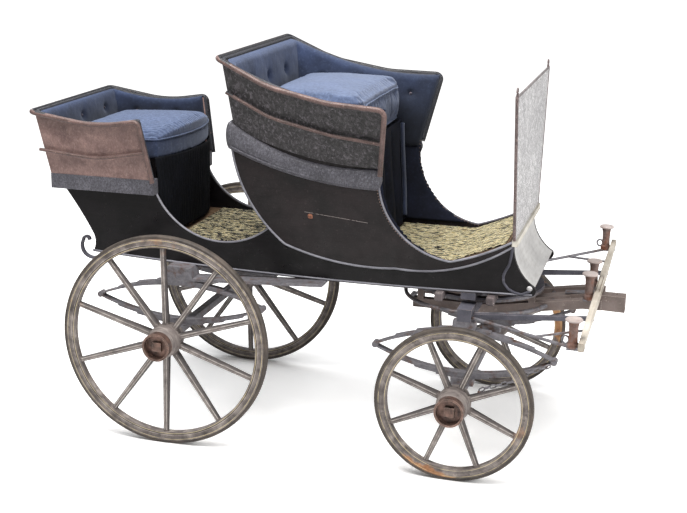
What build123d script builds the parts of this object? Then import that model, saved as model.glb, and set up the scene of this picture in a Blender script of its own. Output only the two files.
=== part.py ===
from build123d import *
from math import atan2, cos, radians, sin
import os

os.makedirs("parts", exist_ok=True)

# A four-wheeled phaeton, in millimetres. X runs forward, Y to the left and Z up.
# The origin is on the floor, midway along the length.

# Driving dimensions of the whole carriage
wheelbase = 1438
rear_reach = 765
front_reach = 715
rear_axle_x = (rear_reach - wheelbase - front_reach) / 2
front_axle_x = rear_axle_x + wheelbase
running_gap = 0.5

# Wheels
rear_wheel_radius = 530
front_wheel_radius = 375
rear_wheel_y = 636
front_wheel_y = 648
tyre_width = 33
tyre_depth = 16
felloe_width = 38
felloe_depth = 42
nave_inner_reach = 92
nave_outer_reach = 72
nave_radius = 80
nave_end_radius = 66
dish = 26
spoke_root_width = 30
spoke_root_depth = 44
spoke_tip_width = 24
spoke_tip_depth = 28
hub_band_radius = 69
hub_band_wall = 9
hub_band_length = 42
hub_nut_side = 44
hub_nut_height = 16
arm_radius = 20
arm_clearance = 0.6

# Axles and springs
axle_side = 42
spring_y = 420
spring_half_length = 430
leaf_width = 44
leaf_thickness = 7
leaf_lengths = (1.0, 0.76, 0.52, 0.28)
spring_eye_radius = 15
rear_spring_opening = 170
front_spring_opening = 190
rear_spring_pad = 5
front_spring_pad = 36
front_top_pad = 36
pack_depth = leaf_thickness * len(leaf_lengths)

# Body sides, measured from the rear axle and the floor
body_half_width = 360
panel_thickness = 22
inner_half_width = body_half_width - panel_thickness
sill_bottom = 828
floor_top = 972
floor_thickness = 20
toe_x = 1750
scroll_x = -500
seat_wall = 18
flare_foot_y = 362
flare_middle_y = 408
flare_top_y = 462
flare_foot_z = 880
flare_middle_z = 1100
flare_top_z = 1620

# Seats
main_seat_board_top = 1500
main_cushion_height = 200
main_cushion_back = 372
main_cushion_front = 905
rear_seat_board_top = 1365
rear_cushion_height = 120
shell_wall = 14
lining_depth = 30
rail_radius = 12
mid_rail_radius = 8
rail_stand_off = 6

# Dash
dash_x = 1650
dash_top_z = 1795
dash_bottom_z = 1118
dash_top_half_width = 555
dash_bottom_half_width = 405
dash_thickness = 10
dash_frame_radius = 9
panel_front_x = dash_x - dash_thickness
dash_bar_width = 26
dash_bar_depth = 30
seat_gap = 0.3

# Front carriage
fifth_wheel_radius = 300
fifth_wheel_width = 34
upper_bed_depth = 30
upper_ring_depth = 10
lower_ring_depth = 12
bed_width = 70
bed_half_length = 450
kingpin_radius = 14
futchell_y = 120
futchell_width = 40
splinter_x = 2016
splinter_half_length = 920
splinter_depth = 48
splinter_width = 60
pole_width = 70
pole_pin_radius = 8
pole_pin_set_back = 45
roller_height = 95
roller_post_radius = 21
roller_cap_radius = 43


def side_plane(y):
    """An upright plane whose X is measured from the rear axle and whose Y is the height."""
    return Plane(origin=(rear_axle_x, y, 0), x_dir=(1, 0, 0), z_dir=(0, -1, 0))


def save(builder, name):
    builder.part.label = name
    export_step(builder.part, f"parts/{name}.step")


# Body side panels: sill, toe and the end of the rear seat box
with BuildPart() as side_panels:
    with BuildSketch(side_plane(-inner_half_width)):
        with BuildLine():
            ThreePointArc((scroll_x, sill_bottom + 40), (600, sill_bottom), (toe_x - 10, sill_bottom + 14))
            ThreePointArc((toe_x - 10, sill_bottom + 14), (toe_x + 6, 862), (toe_x, 884))
            ThreePointArc((toe_x, 884), (1682, 950), (1645, 1085))
            ThreePointArc((1645, 1085), (1440, 985), (1280, 955))
            Line((1280, 955), (860, 950))
            ThreePointArc((860, 950), (620, 985), (440, 1065))
            ThreePointArc((440, 1065), (252, 979), (-152, 1205))
            Line((-152, 1205), (-660, 1215))
            ThreePointArc((-660, 1215), (-560, 1075), (-492, 960))
            ThreePointArc((-492, 960), (-485, 915), (scroll_x, sill_bottom + 40))
        make_face()
    extrude(amount=panel_thickness)
    mirror(about=Plane.XZ)
save(side_panels, "body_side_panels")

# The inside of the flared seat sides, which cuts whatever spans between them
with BuildPart() as seat_interior:
    with BuildSketch(Plane.YZ.offset(rear_axle_x)):
        with BuildLine():
            ThreePointArc((seat_wall - flare_foot_y, flare_foot_z), (seat_wall - flare_middle_y, flare_middle_z),
                          (seat_wall - flare_top_y, flare_top_z))
            Line((seat_wall - flare_top_y, flare_top_z), (0, flare_top_z))
            Line((0, flare_top_z), (0, flare_foot_z))
            Line((0, flare_foot_z), (seat_wall - flare_foot_y, flare_foot_z))
        make_face()
    extrude(amount=dash_x)
    mirror(about=Plane.XZ)

# Main seat shell: arms and back, in plan a four-cornered section at each of two heights
main_shell_low = {"z": 1400, "rear_x": 321, "rear_y": 425, "front_x": 1020, "front_y": 458}
main_shell_high = {"z": 1920, "rear_x": 266, "rear_y": 534, "front_x": 1110, "front_y": 742}
rear_shell_low = {"z": 1240, "rear_x": -690, "rear_y": 398, "front_x": -142, "front_y": 400}
rear_shell_high = {"z": 1600, "rear_x": -752, "rear_y": 448, "front_x": -204, "front_y": 446}


def shell_section(level, inset, front_extra):
    """The plan of a seat shell at one height, drawn in by the inset and open by front_extra."""
    slope = (level["front_y"] - level["rear_y"]) / (level["front_x"] - level["rear_x"])
    rear = level["rear_x"] + (inset if inset else 0)
    front = level["front_x"] + front_extra
    rear_y = level["rear_y"] + slope * (rear - level["rear_x"]) - inset
    front_y = level["rear_y"] + slope * (front - level["rear_x"]) - inset
    return [(rear, rear_y), (front, front_y), (front, -front_y), (rear, -rear_y)]


def shell_block(low, high, inset, front_extra):
    """The closed block between a seat shell's two levels."""
    with BuildPart() as block:
        for level in (low, high):
            with BuildSketch(Plane(origin=(rear_axle_x, 0, level["z"]))):
                with BuildLine():
                    Polyline(*shell_section(level, inset, front_extra), close=True)
                make_face()
        loft(ruled=True)
    return block.part


def shell_y(low, high, x, z):
    """Half width of a seat shell's outer face at a place in the side view."""
    share = (z - low["z"]) / (high["z"] - low["z"])
    at = {key: low[key] + share * (high[key] - low[key]) for key in low}
    return at["rear_y"] + (at["front_y"] - at["rear_y"]) * (x - at["rear_x"]) / (at["front_x"] - at["rear_x"])


def main_shell_side(drop):
    """Side view of the main seat shell between its swept lower and upper edges, right across."""
    with BuildPart() as block:
        with BuildSketch(side_plane(0)):
            with BuildLine():
                ThreePointArc((180, 1640 + drop), (520, 1490 + drop), (1150, 1432 + drop))
                Line((1150, 1432 + drop), (1150, 1718))
                ThreePointArc((1150, 1718), (560, 1774), (267, 1898))
                Line((267, 1898), (180, 1898))
                Line((180, 1898), (180, 1640 + drop))
            make_face()
        extrude(amount=800, both=True)
    return block.part


with BuildPart() as main_shell:
    add(shell_block(main_shell_low, main_shell_high, 0, 0))
    add(shell_block(main_shell_low, main_shell_high, shell_wall, 60), mode=Mode.SUBTRACT)
    add(main_shell_side(0), mode=Mode.INTERSECT)
save(main_shell, "main_seat_shell")

with BuildPart() as main_lining:
    add(shell_block(main_shell_low, main_shell_high, shell_wall - 3, -6))
    add(shell_block(main_shell_low, main_shell_high, shell_wall + lining_depth, 60), mode=Mode.SUBTRACT)
    add(main_shell_side(22), mode=Mode.INTERSECT)
    add(main_shell.part, mode=Mode.SUBTRACT)
save(main_lining, "main_seat_lining")

with BuildPart() as rear_shell:
    add(shell_block(rear_shell_low, rear_shell_high, 0, 0))
    add(shell_block(rear_shell_low, rear_shell_high, shell_wall, 60), mode=Mode.SUBTRACT)
    with BuildSketch(side_plane(0)):
        with BuildLine():
            Line((-800, 1250), (-100, 1256))
            Line((-100, 1256), (-100, 1590))
            ThreePointArc((-100, 1590), (-430, 1531), (-752, 1575))
            Line((-752, 1575), (-800, 1575))
            Line((-800, 1575), (-800, 1250))
        make_face()
    extrude(amount=800, both=True, mode=Mode.INTERSECT)
save(rear_shell, "rear_seat_shell")


# Flared side panels of the main seat, sweeping forward to the dash
with BuildPart() as seat_panels:
    with BuildSketch(Plane.YZ.offset(rear_axle_x)):
        with BuildLine():
            ThreePointArc((-flare_foot_y, flare_foot_z), (-flare_middle_y, flare_middle_z), (-flare_top_y, flare_top_z))
            Line((-flare_top_y, flare_top_z), (seat_wall - flare_top_y, flare_top_z))
            ThreePointArc((seat_wall - flare_top_y, flare_top_z), (seat_wall - flare_middle_y, flare_middle_z),
                          (seat_wall - flare_foot_y, flare_foot_z))
            Line((seat_wall - flare_foot_y, flare_foot_z), (-flare_foot_y, flare_foot_z))
        make_face()
    extrude(amount=dash_x + 60)
    with BuildSketch(side_plane(0)):
        with BuildLine():
            ThreePointArc((288, 1600), (345, 1262), (535, 1003))
            ThreePointArc((535, 1003), (770, 936), (1085, 924))
            ThreePointArc((1085, 924), (1400, 958), (panel_front_x, 1084))
            Line((panel_front_x, 1084), (panel_front_x, 1108))
            ThreePointArc((panel_front_x, 1108), (1490, 1032), (1350, 984))
            ThreePointArc((1350, 984), (1112, 1103), (1012, 1400))
            Line((1012, 1400), (1012, flare_top_z))
            Line((1012, flare_top_z), (288, flare_top_z))
            Line((288, flare_top_z), (288, 1600))
        make_face()
    extrude(amount=flare_top_y + 100, mode=Mode.INTERSECT)
    mirror(about=Plane.XZ)
    add(side_panels.part, mode=Mode.SUBTRACT)
    add(main_shell_side(0), mode=Mode.SUBTRACT)
save(seat_panels, "main_seat_side_panels")

# Floor boards with the ramp under the driver's feet, and the bottom board over the front carriage
with BuildPart() as floor_boards:
    with BuildSketch(side_plane(0)):
        with BuildLine():
            Polyline((-150, floor_top), (1350, floor_top), (1610, floor_top + 106), (1618, floor_top + 86),
                     (1356, floor_top - floor_thickness), (-150, floor_top - floor_thickness), close=True)
        make_face()
        with BuildLine():
            Polyline((1150, sill_bottom + 8), (1735, sill_bottom + 24), (1735, sill_bottom + 38),
                     (1150, sill_bottom + 22), close=True)
        make_face()
    extrude(amount=inner_half_width, both=True)
save(floor_boards, "floor_boards")

# Curved toe board under the dash
with BuildPart() as toe_board:
    with BuildSketch(side_plane(0)):
        with BuildLine():
            ThreePointArc((toe_x, 884), (1682, 950), (1645, 1085))
            Line((1645, 1085), (1631, 1085))
            ThreePointArc((1631, 1085), (1667, 945), (toe_x - 14, 872))
            Line((toe_x - 14, 872), (toe_x, 884))
        make_face()
    extrude(amount=inner_half_width, both=True)
save(toe_board, "toe_board")

# Rear panel under the rear seat
with BuildPart() as rear_panel:
    with BuildSketch(side_plane(0)):
        with BuildLine():
            ThreePointArc((-660, 1215), (-560, 1075), (-492, 960))
            ThreePointArc((-492, 960), (-485, 915), (scroll_x, sill_bottom + 40))
            Line((scroll_x, sill_bottom + 40), (scroll_x + 16, sill_bottom + 40))
            ThreePointArc((scroll_x + 16, sill_bottom + 40), (-469, 915), (-476, 960))
            ThreePointArc((-476, 960), (-546, 1078), (-642, 1215))
            Line((-642, 1215), (-660, 1215))
        make_face()
    extrude(amount=inner_half_width, both=True)
save(rear_panel, "rear_panel")

# Main seat box: rear wall that follows the side panels, front wall and seat board
with BuildPart() as main_seat_box:
    with BuildSketch(side_plane(0)):
        with BuildLine():
            ThreePointArc((300, 1620), (358, 1262), (520, floor_top + 20))
            Line((520, floor_top + 20), (520, floor_top))
            Line((520, floor_top), (538, floor_top))
            ThreePointArc((538, floor_top), (376, 1262), (318, 1620))
            Line((318, 1620), (300, 1620))
        make_face()
        with BuildLine():
            Polyline((330, main_seat_board_top - 18), (main_cushion_front - 15, main_seat_board_top - 18),
                     (main_cushion_front - 15, floor_top), (main_cushion_front + 3, floor_top),
                     (main_cushion_front + 3, main_seat_board_top), (330, main_seat_board_top), close=True)
        make_face()
    extrude(amount=flare_top_y, both=True)
    add(seat_interior.part, mode=Mode.INTERSECT)
    for neighbour in (side_panels, main_shell, main_lining):
        add(neighbour.part, mode=Mode.SUBTRACT)
save(main_seat_box, "main_seat_box")

# Rear seat box: front wall, seat board and the frame that the side panels carry
with BuildPart() as rear_seat_box:
    with BuildSketch(side_plane(0)):
        with BuildLine():
            Polyline((-640, rear_seat_board_top - 16), (-170, rear_seat_board_top - 16), (-170, floor_top),
                     (-154, floor_top), (-154, rear_seat_board_top), (-640, rear_seat_board_top), close=True)
        make_face()
    extrude(amount=inner_half_width, both=True)
save(rear_seat_box, "rear_seat_box")

# Leather roll round the foot of the rear seat, on the side panels
with BuildPart() as rear_roll:
    with BuildSketch(Plane(origin=(rear_axle_x, 0, 1195))):
        with BuildLine():
            Polyline(*shell_section(rear_shell_low, -6, 0), close=True)
        make_face()
        with BuildLine():
            Polyline(*shell_section(rear_shell_low, 56, 60), close=True)
        make_face(mode=Mode.SUBTRACT)
    extrude(amount=75)
    for neighbour in (side_panels, rear_panel, rear_shell):
        add(neighbour.part, mode=Mode.SUBTRACT)
save(rear_roll, "rear_seat_roll")


def rail_points(low, high, spots, radius):
    """Points of a rail that stands off a shell's outer face, from side view places."""
    points = []
    for x, z in spots:
        y = shell_y(low, high, x, z) + radius + rail_stand_off
        points.append((rear_axle_x + x, -y, z))
    return points


def swept_rail(points, radii, radius):
    with BuildPart() as rail:
        with BuildLine() as path:
            FilletPolyline(*points, radius=radii)
        with BuildSketch(Plane(origin=path.line @ 0, z_dir=path.line % 0)):
            Circle(radius)
        sweep()
    return rail.part


def mirrored(points):
    return [(x, -y, z) for x, y, z in reversed(points)]


def rail_pegs(points, shell):
    """Short pegs that carry a rail on its shell, at the given points and at their mirror images."""
    with BuildPart() as pegs:
        for x, y, z in points:
            with BuildSketch(Plane(origin=(x, y, z), x_dir=(1, 0, 0), z_dir=(0, 1, 0))):
                Circle(mid_rail_radius - 2)
            extrude(amount=rail_radius + rail_stand_off + shell_wall / 3)
        mirror(about=Plane.XZ)
        add(shell, mode=Mode.SUBTRACT)
    return pegs.part


# Main seat rails: posts, swept top rail round the back, and middle rail
main_top_spots = [(1022, 1392), (1081, 1724), (800, 1734), (500, 1790), (249, 1905)]
main_mid_spots = [(1050, 1553), (800, 1577), (500, 1640), (284, 1745)]
main_peg_spots = [(1044, 1516), (1064, 1624), (650, 1758), (790, 1579), (310, 1733)]
with BuildPart() as main_rails:
    top = rail_points(main_shell_low, main_shell_high, main_top_spots, rail_radius)
    add(swept_rail(top + mirrored(top), [30, 500, 500, 30, 30, 500, 500, 30], rail_radius))
    mid = rail_points(main_shell_low, main_shell_high, main_mid_spots, rail_radius)
    add(swept_rail(mid, [500, 400], mid_rail_radius))
    add(swept_rail(mirrored(mid), [400, 500], mid_rail_radius))
    pegs = rail_points(main_shell_low, main_shell_high, main_peg_spots, rail_radius)
    add(rail_pegs(pegs, main_shell.part))
save(main_rails, "main_seat_rails")

# Rear seat rails
rear_top_spots = [(-140, 1262), (-192, 1568), (-420, 1531), (-766, 1585)]
rear_mid_spots = [(-166, 1412), (-430, 1364), (-734, 1395)]
rear_peg_spots = [(-158, 1368), (-180, 1490), (-430, 1372), (-700, 1391), (-640, 1562)]
with BuildPart() as rear_rails:
    top = rail_points(rear_shell_low, rear_shell_high, rear_top_spots, rail_radius)
    add(swept_rail(top + mirrored(top), [30, 700, 30, 30, 700, 30], rail_radius))
    mid = rail_points(rear_shell_low, rear_shell_high, rear_mid_spots, rail_radius)
    add(swept_rail(mid, [600], mid_rail_radius))
    add(swept_rail(mirrored(mid), [600], mid_rail_radius))
    pegs = rail_points(rear_shell_low, rear_shell_high, rear_peg_spots, rail_radius)
    add(rail_pegs(pegs, rear_shell.part))
save(rear_rails, "rear_seat_rails")

# Cushions, falls and mats, as plain closed solids
with BuildPart() as main_cushion:
    with BuildSketch(Plane.XY.offset(main_seat_board_top)):
        with Locations((rear_axle_x + (main_cushion_back + main_cushion_front) / 2, 0)):
            RectangleRounded(main_cushion_front - main_cushion_back, 2 * flare_top_y - 120, 40)
    extrude(amount=main_cushion_height)
    fillet(main_cushion.faces().sort_by(Axis.Z)[-1].edges(), 35)
save(main_cushion, "main_cushion")

with BuildPart() as rear_cushion:
    with BuildSketch(Plane.XY.offset(rear_seat_board_top)):
        with Locations((rear_axle_x - 402, 0)):
            RectangleRounded(500, 740, 40)
    extrude(amount=rear_cushion_height)
    fillet(rear_cushion.faces().sort_by(Axis.Z)[-1].edges(), 30)
save(rear_cushion, "rear_cushion")

with BuildPart() as main_fall:
    with BuildSketch(side_plane(0)):
        with BuildLine():
            Polyline((main_cushion_front + 3.3, main_seat_board_top), (main_cushion_front + 16, main_seat_board_top),
                     (955, floor_top + 15), (943, floor_top + 15), close=True)
        make_face()
    extrude(amount=flare_top_y, both=True)
    with BuildSketch(Plane.YZ.offset(rear_axle_x + main_cushion_front)):
        with BuildLine():
            Polyline((-inner_half_width + 4, floor_top), (-415, main_seat_board_top), (415, main_seat_board_top),
                     (inner_half_width - 4, floor_top), close=True)
        make_face()
    extrude(amount=100, mode=Mode.INTERSECT)
save(main_fall, "main_seat_fall")

with BuildPart() as rear_fall:
    with BuildSketch(side_plane(0)):
        with BuildLine():
            Polyline((-153, rear_seat_board_top), (-137, rear_seat_board_top), (-125, floor_top + 15),
                     (-141, floor_top + 15), close=True)
        make_face()
    extrude(amount=inner_half_width - 8, both=True)
save(rear_fall, "rear_seat_fall")

with BuildPart() as floor_mats:
    with BuildSketch(side_plane(0)):
        with BuildLine():
            Polyline((-120, floor_top), (480, floor_top), (480, floor_top + 12), (-120, floor_top + 12), close=True)
        make_face()
        with BuildLine():
            Polyline((965, floor_top), (1350, floor_top), (1600, floor_top + 102), (1596, floor_top + 113),
                     (1348, floor_top + 12), (965, floor_top + 12), close=True)
        make_face()
    extrude(amount=inner_half_width - 4, both=True)
save(floor_mats, "floor_mats")

# Dash: leather panel inside a round iron frame that ends in a loop at each top corner
with BuildPart() as dash_panel:
    with BuildSketch(Plane.YZ.offset(rear_axle_x + dash_x - dash_thickness / 2)):
        with BuildLine():
            Polyline((-dash_bottom_half_width, dash_bottom_z), (-dash_top_half_width, dash_top_z),
                     (dash_top_half_width, dash_top_z), (dash_bottom_half_width, dash_bottom_z), close=True)
        make_face()
    extrude(amount=dash_thickness)
save(dash_panel, "dash_panel")

with BuildPart() as dash_bar:
    with BuildSketch(side_plane(0)):
        with Locations((panel_front_x + seat_gap + dash_bar_width / 2, dash_bottom_z - dash_bar_depth / 2)):
            Rectangle(dash_bar_width, dash_bar_depth)
    extrude(amount=dash_bottom_half_width + 5, both=True)
save(dash_bar, "dash_bar")


def spring_z(foot_z, opening):
    """Heights of an elliptic spring: inner faces of its lower and upper packs."""
    return foot_z + pack_depth, foot_z + pack_depth + opening


def leaf_sketch(centre_x, inner_z, rise, sign):
    """Leaves of half an elliptic spring, the longest inside; sign is -1 for the lower half."""
    radius = (spring_half_length ** 2 + rise ** 2) / (2 * rise)
    centre_z = inner_z - sign * radius
    with BuildSketch() as leaves:
        for number, share in enumerate(leaf_lengths):
            turn = atan2(spring_half_length, radius - rise) * share
            near = radius + number * leaf_thickness
            far = near + leaf_thickness
            inside = [(centre_x + near * sin(a), centre_z + sign * near * cos(a)) for a in (-turn, 0, turn)]
            outside = [(centre_x + far * sin(a), centre_z + sign * far * cos(a)) for a in (turn, 0, -turn)]
            with BuildLine():
                ThreePointArc(*inside)
                Line(inside[2], outside[0])
                ThreePointArc(*outside)
                Line(outside[2], inside[0])
            make_face()
    return leaves.sketch


def elliptic_springs(centre_x, foot_z, opening):
    low, high = spring_z(foot_z, opening)
    rise = opening / 2
    with BuildPart() as springs:
        with BuildSketch(side_plane(-spring_y)):
            add(leaf_sketch(centre_x, low, rise, -1))
            add(leaf_sketch(centre_x, high, rise, 1))
            with Locations((centre_x - spring_half_length, (low + high) / 2),
                           (centre_x + spring_half_length, (low + high) / 2)):
                Circle(spring_eye_radius)
        extrude(amount=leaf_width / 2, both=True)
        mirror(about=Plane.XZ)
    return springs


rear_spring_foot = rear_wheel_radius + axle_side / 2 + rear_spring_pad
front_spring_foot = front_wheel_radius + axle_side / 2 + front_spring_pad
rear_spring_top = rear_spring_foot + 2 * pack_depth + rear_spring_opening
front_spring_top = front_spring_foot + 2 * pack_depth + front_spring_opening
save(elliptic_springs(0, rear_spring_foot, rear_spring_opening), "rear_springs")
save(elliptic_springs(wheelbase, front_spring_foot, front_spring_opening), "front_springs")


def axle(centre_x, radius, wheel_y):
    shoulder = wheel_y - nave_inner_reach - 12
    tip = wheel_y + nave_outer_reach - 10
    with BuildPart() as beam:
        with BuildSketch(Plane.XZ):
            with Locations((centre_x, radius)):
                RectangleRounded(axle_side, axle_side, 6)
        extrude(amount=shoulder, both=True)
        with BuildSketch(Plane.XZ):
            with Locations((centre_x, radius)):
                Circle(arm_radius)
        extrude(amount=tip, both=True)
    return beam


save(axle(rear_axle_x, rear_wheel_radius, rear_wheel_y), "rear_axle")
save(axle(front_axle_x, front_wheel_radius, front_wheel_y), "front_axle")


def spring_pads(centre_x, foot_z, pad):
    with BuildPart() as pads:
        with BuildSketch(Plane.XY.offset(foot_z - pad)):
            with Locations((centre_x, -spring_y)):
                RectangleRounded(110, leaf_width + 14, 8)
        extrude(amount=pad)
        mirror(about=Plane.XZ)
    return pads


save(spring_pads(rear_axle_x, rear_spring_foot, rear_spring_pad), "rear_spring_pads")
save(spring_pads(front_axle_x, front_spring_foot, front_spring_pad), "front_spring_pads")
save(spring_pads(front_axle_x, front_spring_top + front_top_pad, front_top_pad), "front_spring_top_pads")

# Rear body loops: iron bars from the tops of the springs forward to the sills, and the cross bar
with BuildPart() as body_loops:
    with BuildSketch(side_plane(-inner_half_width)):
        with BuildLine():
            Polyline((-75, rear_spring_top), (70, rear_spring_top), (740, sill_bottom - 12), (740, sill_bottom + 2),
                     (70, rear_spring_top + 14), (60, sill_bottom + 20), (-60, sill_bottom + 24),
                     (-75, rear_spring_top + 14), close=True)
        make_face()
    extrude(amount=spring_y + leaf_width / 2 - inner_half_width)
    mirror(about=Plane.XZ)
    with BuildSketch(side_plane(0)):
        with Locations((0, rear_spring_top + 22)):
            Rectangle(60, 40)
    extrude(amount=inner_half_width, both=True)
    add(side_panels.part, mode=Mode.SUBTRACT)
save(body_loops, "body_loops")

# Front gear: upper bed and upper ring fixed to the body, kingpin through both
ring_foot = sill_bottom - upper_bed_depth - upper_ring_depth
with BuildPart() as upper_gear:
    with BuildSketch(Plane.XY.offset(sill_bottom - upper_bed_depth)):
        with Locations((front_axle_x, 0)):
            Rectangle(bed_width, 2 * body_half_width)
    extrude(amount=upper_bed_depth + 20)
    for neighbour in (side_panels, floor_boards):
        add(neighbour.part, mode=Mode.SUBTRACT)
    with BuildSketch(Plane.XY.offset(ring_foot)):
        with Locations((front_axle_x, 0)):
            Circle(fifth_wheel_radius + fifth_wheel_width / 2)
            Circle(fifth_wheel_radius - fifth_wheel_width / 2, mode=Mode.SUBTRACT)
            Rectangle(bed_width, 2 * fifth_wheel_radius)
    extrude(amount=upper_ring_depth)
save(upper_gear, "upper_fifth_wheel")

lower_ring_top = ring_foot - running_gap
lower_bed_top = lower_ring_top - lower_ring_depth
bed_foot = front_spring_top + front_top_pad
with BuildPart() as kingpin:
    with BuildSketch(Plane.XY.offset(bed_foot - 20)):
        with Locations((front_axle_x, 0)):
            Circle(kingpin_radius)
    extrude(amount=ring_foot - bed_foot + 20)
save(kingpin, "kingpin")

with BuildPart() as lower_ring:
    with BuildSketch(Plane.XY.offset(lower_bed_top)):
        with Locations((front_axle_x, 0)):
            Circle(fifth_wheel_radius + fifth_wheel_width / 2)
            Circle(fifth_wheel_radius - fifth_wheel_width / 2, mode=Mode.SUBTRACT)
    extrude(amount=lower_ring_depth)
save(lower_ring, "lower_fifth_wheel")

with BuildPart() as lower_bed:
    with BuildSketch(Plane.XY.offset(bed_foot)):
        with Locations((front_axle_x, 0)):
            Rectangle(bed_width, 2 * bed_half_length)
            Circle(kingpin_radius + running_gap, mode=Mode.SUBTRACT)
    extrude(amount=lower_bed_top - bed_foot)
save(lower_bed, "lower_bed")

# Futchells, which run under the bed and rise to the splinter bar
splinter_foot = lower_bed_top + 8
riser_reach = (fifth_wheel_radius ** 2 - futchell_y ** 2) ** 0.5
with BuildPart() as futchells:
    with BuildSketch(side_plane(-futchell_y + futchell_width / 2)):
        with BuildLine():
            Polyline((1125, bed_foot), (1520, bed_foot), (1960, splinter_foot),
                     (2046, splinter_foot), (2046, splinter_foot - 46), (1960, splinter_foot - 46),
                     (1520, bed_foot - 46), (1125, bed_foot - 46), close=True)
        make_face()
        with Locations((wheelbase - riser_reach, (bed_foot + lower_bed_top) / 2),
                       (wheelbase + riser_reach, (bed_foot + lower_bed_top) / 2)):
            Rectangle(30, lower_bed_top - bed_foot)
    extrude(amount=futchell_width)
    mirror(about=Plane.XZ)
save(futchells, "futchells")

with BuildPart() as splinter_bar:
    for share, size in ((-1, 0.8), (-0.15, 1.0), (0.15, 1.0), (1, 0.8)):
        with BuildSketch(Plane.XZ.offset(share * splinter_half_length)):
            with Locations((rear_axle_x + splinter_x, splinter_foot + splinter_depth / 2)):
                RectangleRounded(splinter_width * size, splinter_depth * size, 10)
    loft(ruled=True)
save(splinter_bar, "splinter_bar")

with BuildPart() as rollers:
    for y in (-858, -120, 120, 858):
        bar_top = splinter_foot + splinter_depth * (1 if abs(y) < 200 else 0.9)
        with BuildSketch(Plane.XY.offset(bar_top - 8)):
            with Locations((rear_axle_x + splinter_x, y)):
                Circle(roller_post_radius)
        extrude(amount=roller_height + 8)
        with BuildSketch(Plane.XY.offset(bar_top + roller_height)):
            with Locations((rear_axle_x + splinter_x, y)):
                Circle(roller_cap_radius)
        extrude(amount=12)
    add(splinter_bar.part, mode=Mode.SUBTRACT)
save(rollers, "roller_bolts")

with BuildPart() as pole_stub:
    with BuildSketch(side_plane(0)):
        with BuildLine():
            Polyline((1580, bed_foot), (1960, splinter_foot), (wheelbase + front_reach, splinter_foot),
                     (wheelbase + front_reach, splinter_foot - 80), (1960, splinter_foot - 74),
                     (1580, bed_foot - 50), close=True)
        make_face()
    extrude(amount=pole_width / 2, both=True)
    with Locations((rear_axle_x + wheelbase + front_reach - pole_pin_set_back, 0, splinter_foot)):
        Hole(pole_pin_radius)
save(pole_stub, "pole_stub")


def wheel_plane(x, y, radius):
    """Wheel centre, with the plane's normal pointing outward."""
    outward = 1 if y > 0 else -1
    return Plane(origin=(x, y, radius), x_dir=(1, 0, 0), z_dir=(0, outward, 0))


def wooden_wheel(radius, count):
    """Nave, spokes and felloes about the Z axis, with Z outward and zero at the tyre's middle."""
    rim = radius - tyre_depth
    rim_inside = rim - felloe_depth
    with BuildPart() as wheel:
        with BuildSketch():
            Circle(rim)
            Circle(rim_inside, mode=Mode.SUBTRACT)
        extrude(amount=felloe_width / 2, both=True)
        with BuildSketch(Plane.XZ):
            with BuildLine():
                Line((0, -nave_inner_reach), (nave_end_radius, -nave_inner_reach))
                ThreePointArc((nave_end_radius, -nave_inner_reach), (nave_radius, -dish),
                              (nave_end_radius, nave_outer_reach))
                Line((nave_end_radius, nave_outer_reach), (0, nave_outer_reach))
                Line((0, nave_outer_reach), (0, -nave_inner_reach))
            make_face()
        revolve(axis=Axis.Z)
        for number in range(count):
            angle = 360 / count * (number + 0.5)
            for reach, depth, width, inward in ((nave_radius - 12, spoke_root_depth, spoke_root_width, dish),
                                                (rim_inside + 4, spoke_tip_depth, spoke_tip_width, 2)):
                direction = (cos(radians(angle)), sin(radians(angle)), 0)
                origin = (reach * direction[0], reach * direction[1], -inward)
                with BuildSketch(Plane(origin=origin, x_dir=(0, 0, 1), z_dir=direction)):
                    RectangleRounded(depth, width, width / 3)
            loft(ruled=True)
        with BuildSketch(Plane.XY.offset(-nave_inner_reach)):
            Circle(arm_radius + arm_clearance)
        extrude(amount=nave_inner_reach + nave_outer_reach, mode=Mode.SUBTRACT)
    return wheel


def tyre(radius):
    with BuildPart() as ring:
        with BuildSketch():
            Circle(radius)
            Circle(radius - tyre_depth, mode=Mode.SUBTRACT)
        extrude(amount=tyre_width / 2, both=True)
        fillet(ring.edges().filter_by(GeomType.CIRCLE).group_by(SortBy.RADIUS)[-1], 5)
    return ring


def hub_band():
    with BuildPart() as band:
        with BuildSketch(Plane.XY.offset(nave_outer_reach)):
            Circle(hub_band_radius)
        extrude(amount=hub_band_length)
        with BuildSketch(Plane.XY.offset(nave_outer_reach + 12)):
            Circle(hub_band_radius - hub_band_wall)
        extrude(amount=hub_band_length, mode=Mode.SUBTRACT)
        with BuildSketch(Plane.XY.offset(nave_outer_reach + 12)):
            Rectangle(hub_nut_side, hub_nut_side)
        extrude(amount=hub_nut_height)
    return band


wheel_rows = (
    # name, x, y, radius, spokes
    ("rear_left", rear_axle_x, rear_wheel_y, rear_wheel_radius, 10),
    ("rear_right", rear_axle_x, -rear_wheel_y, rear_wheel_radius, 10),
    ("front_left", front_axle_x, front_wheel_y, front_wheel_radius, 8),
    ("front_right", front_axle_x, -front_wheel_y, front_wheel_radius, 8),
)
woods = {count: wooden_wheel(radius, count).part for name, x, y, radius, count in wheel_rows}
band_part = hub_band().part
for name, x, y, radius, count in wheel_rows:
    place = wheel_plane(x, y, radius).location
    for piece, shape in (("wheel", woods[count]), ("tyre", tyre(radius).part), ("hub_band", band_part)):
        placed = place * shape
        placed.label = f"{name}_{piece}"
        export_step(placed, f"parts/{name}_{piece}.step")
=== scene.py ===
import math
from functools import partialmethod

import bmesh
import bpy
from mathutils import Matrix, Vector, noise
from mathutils.bvhtree import BVHTree


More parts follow.
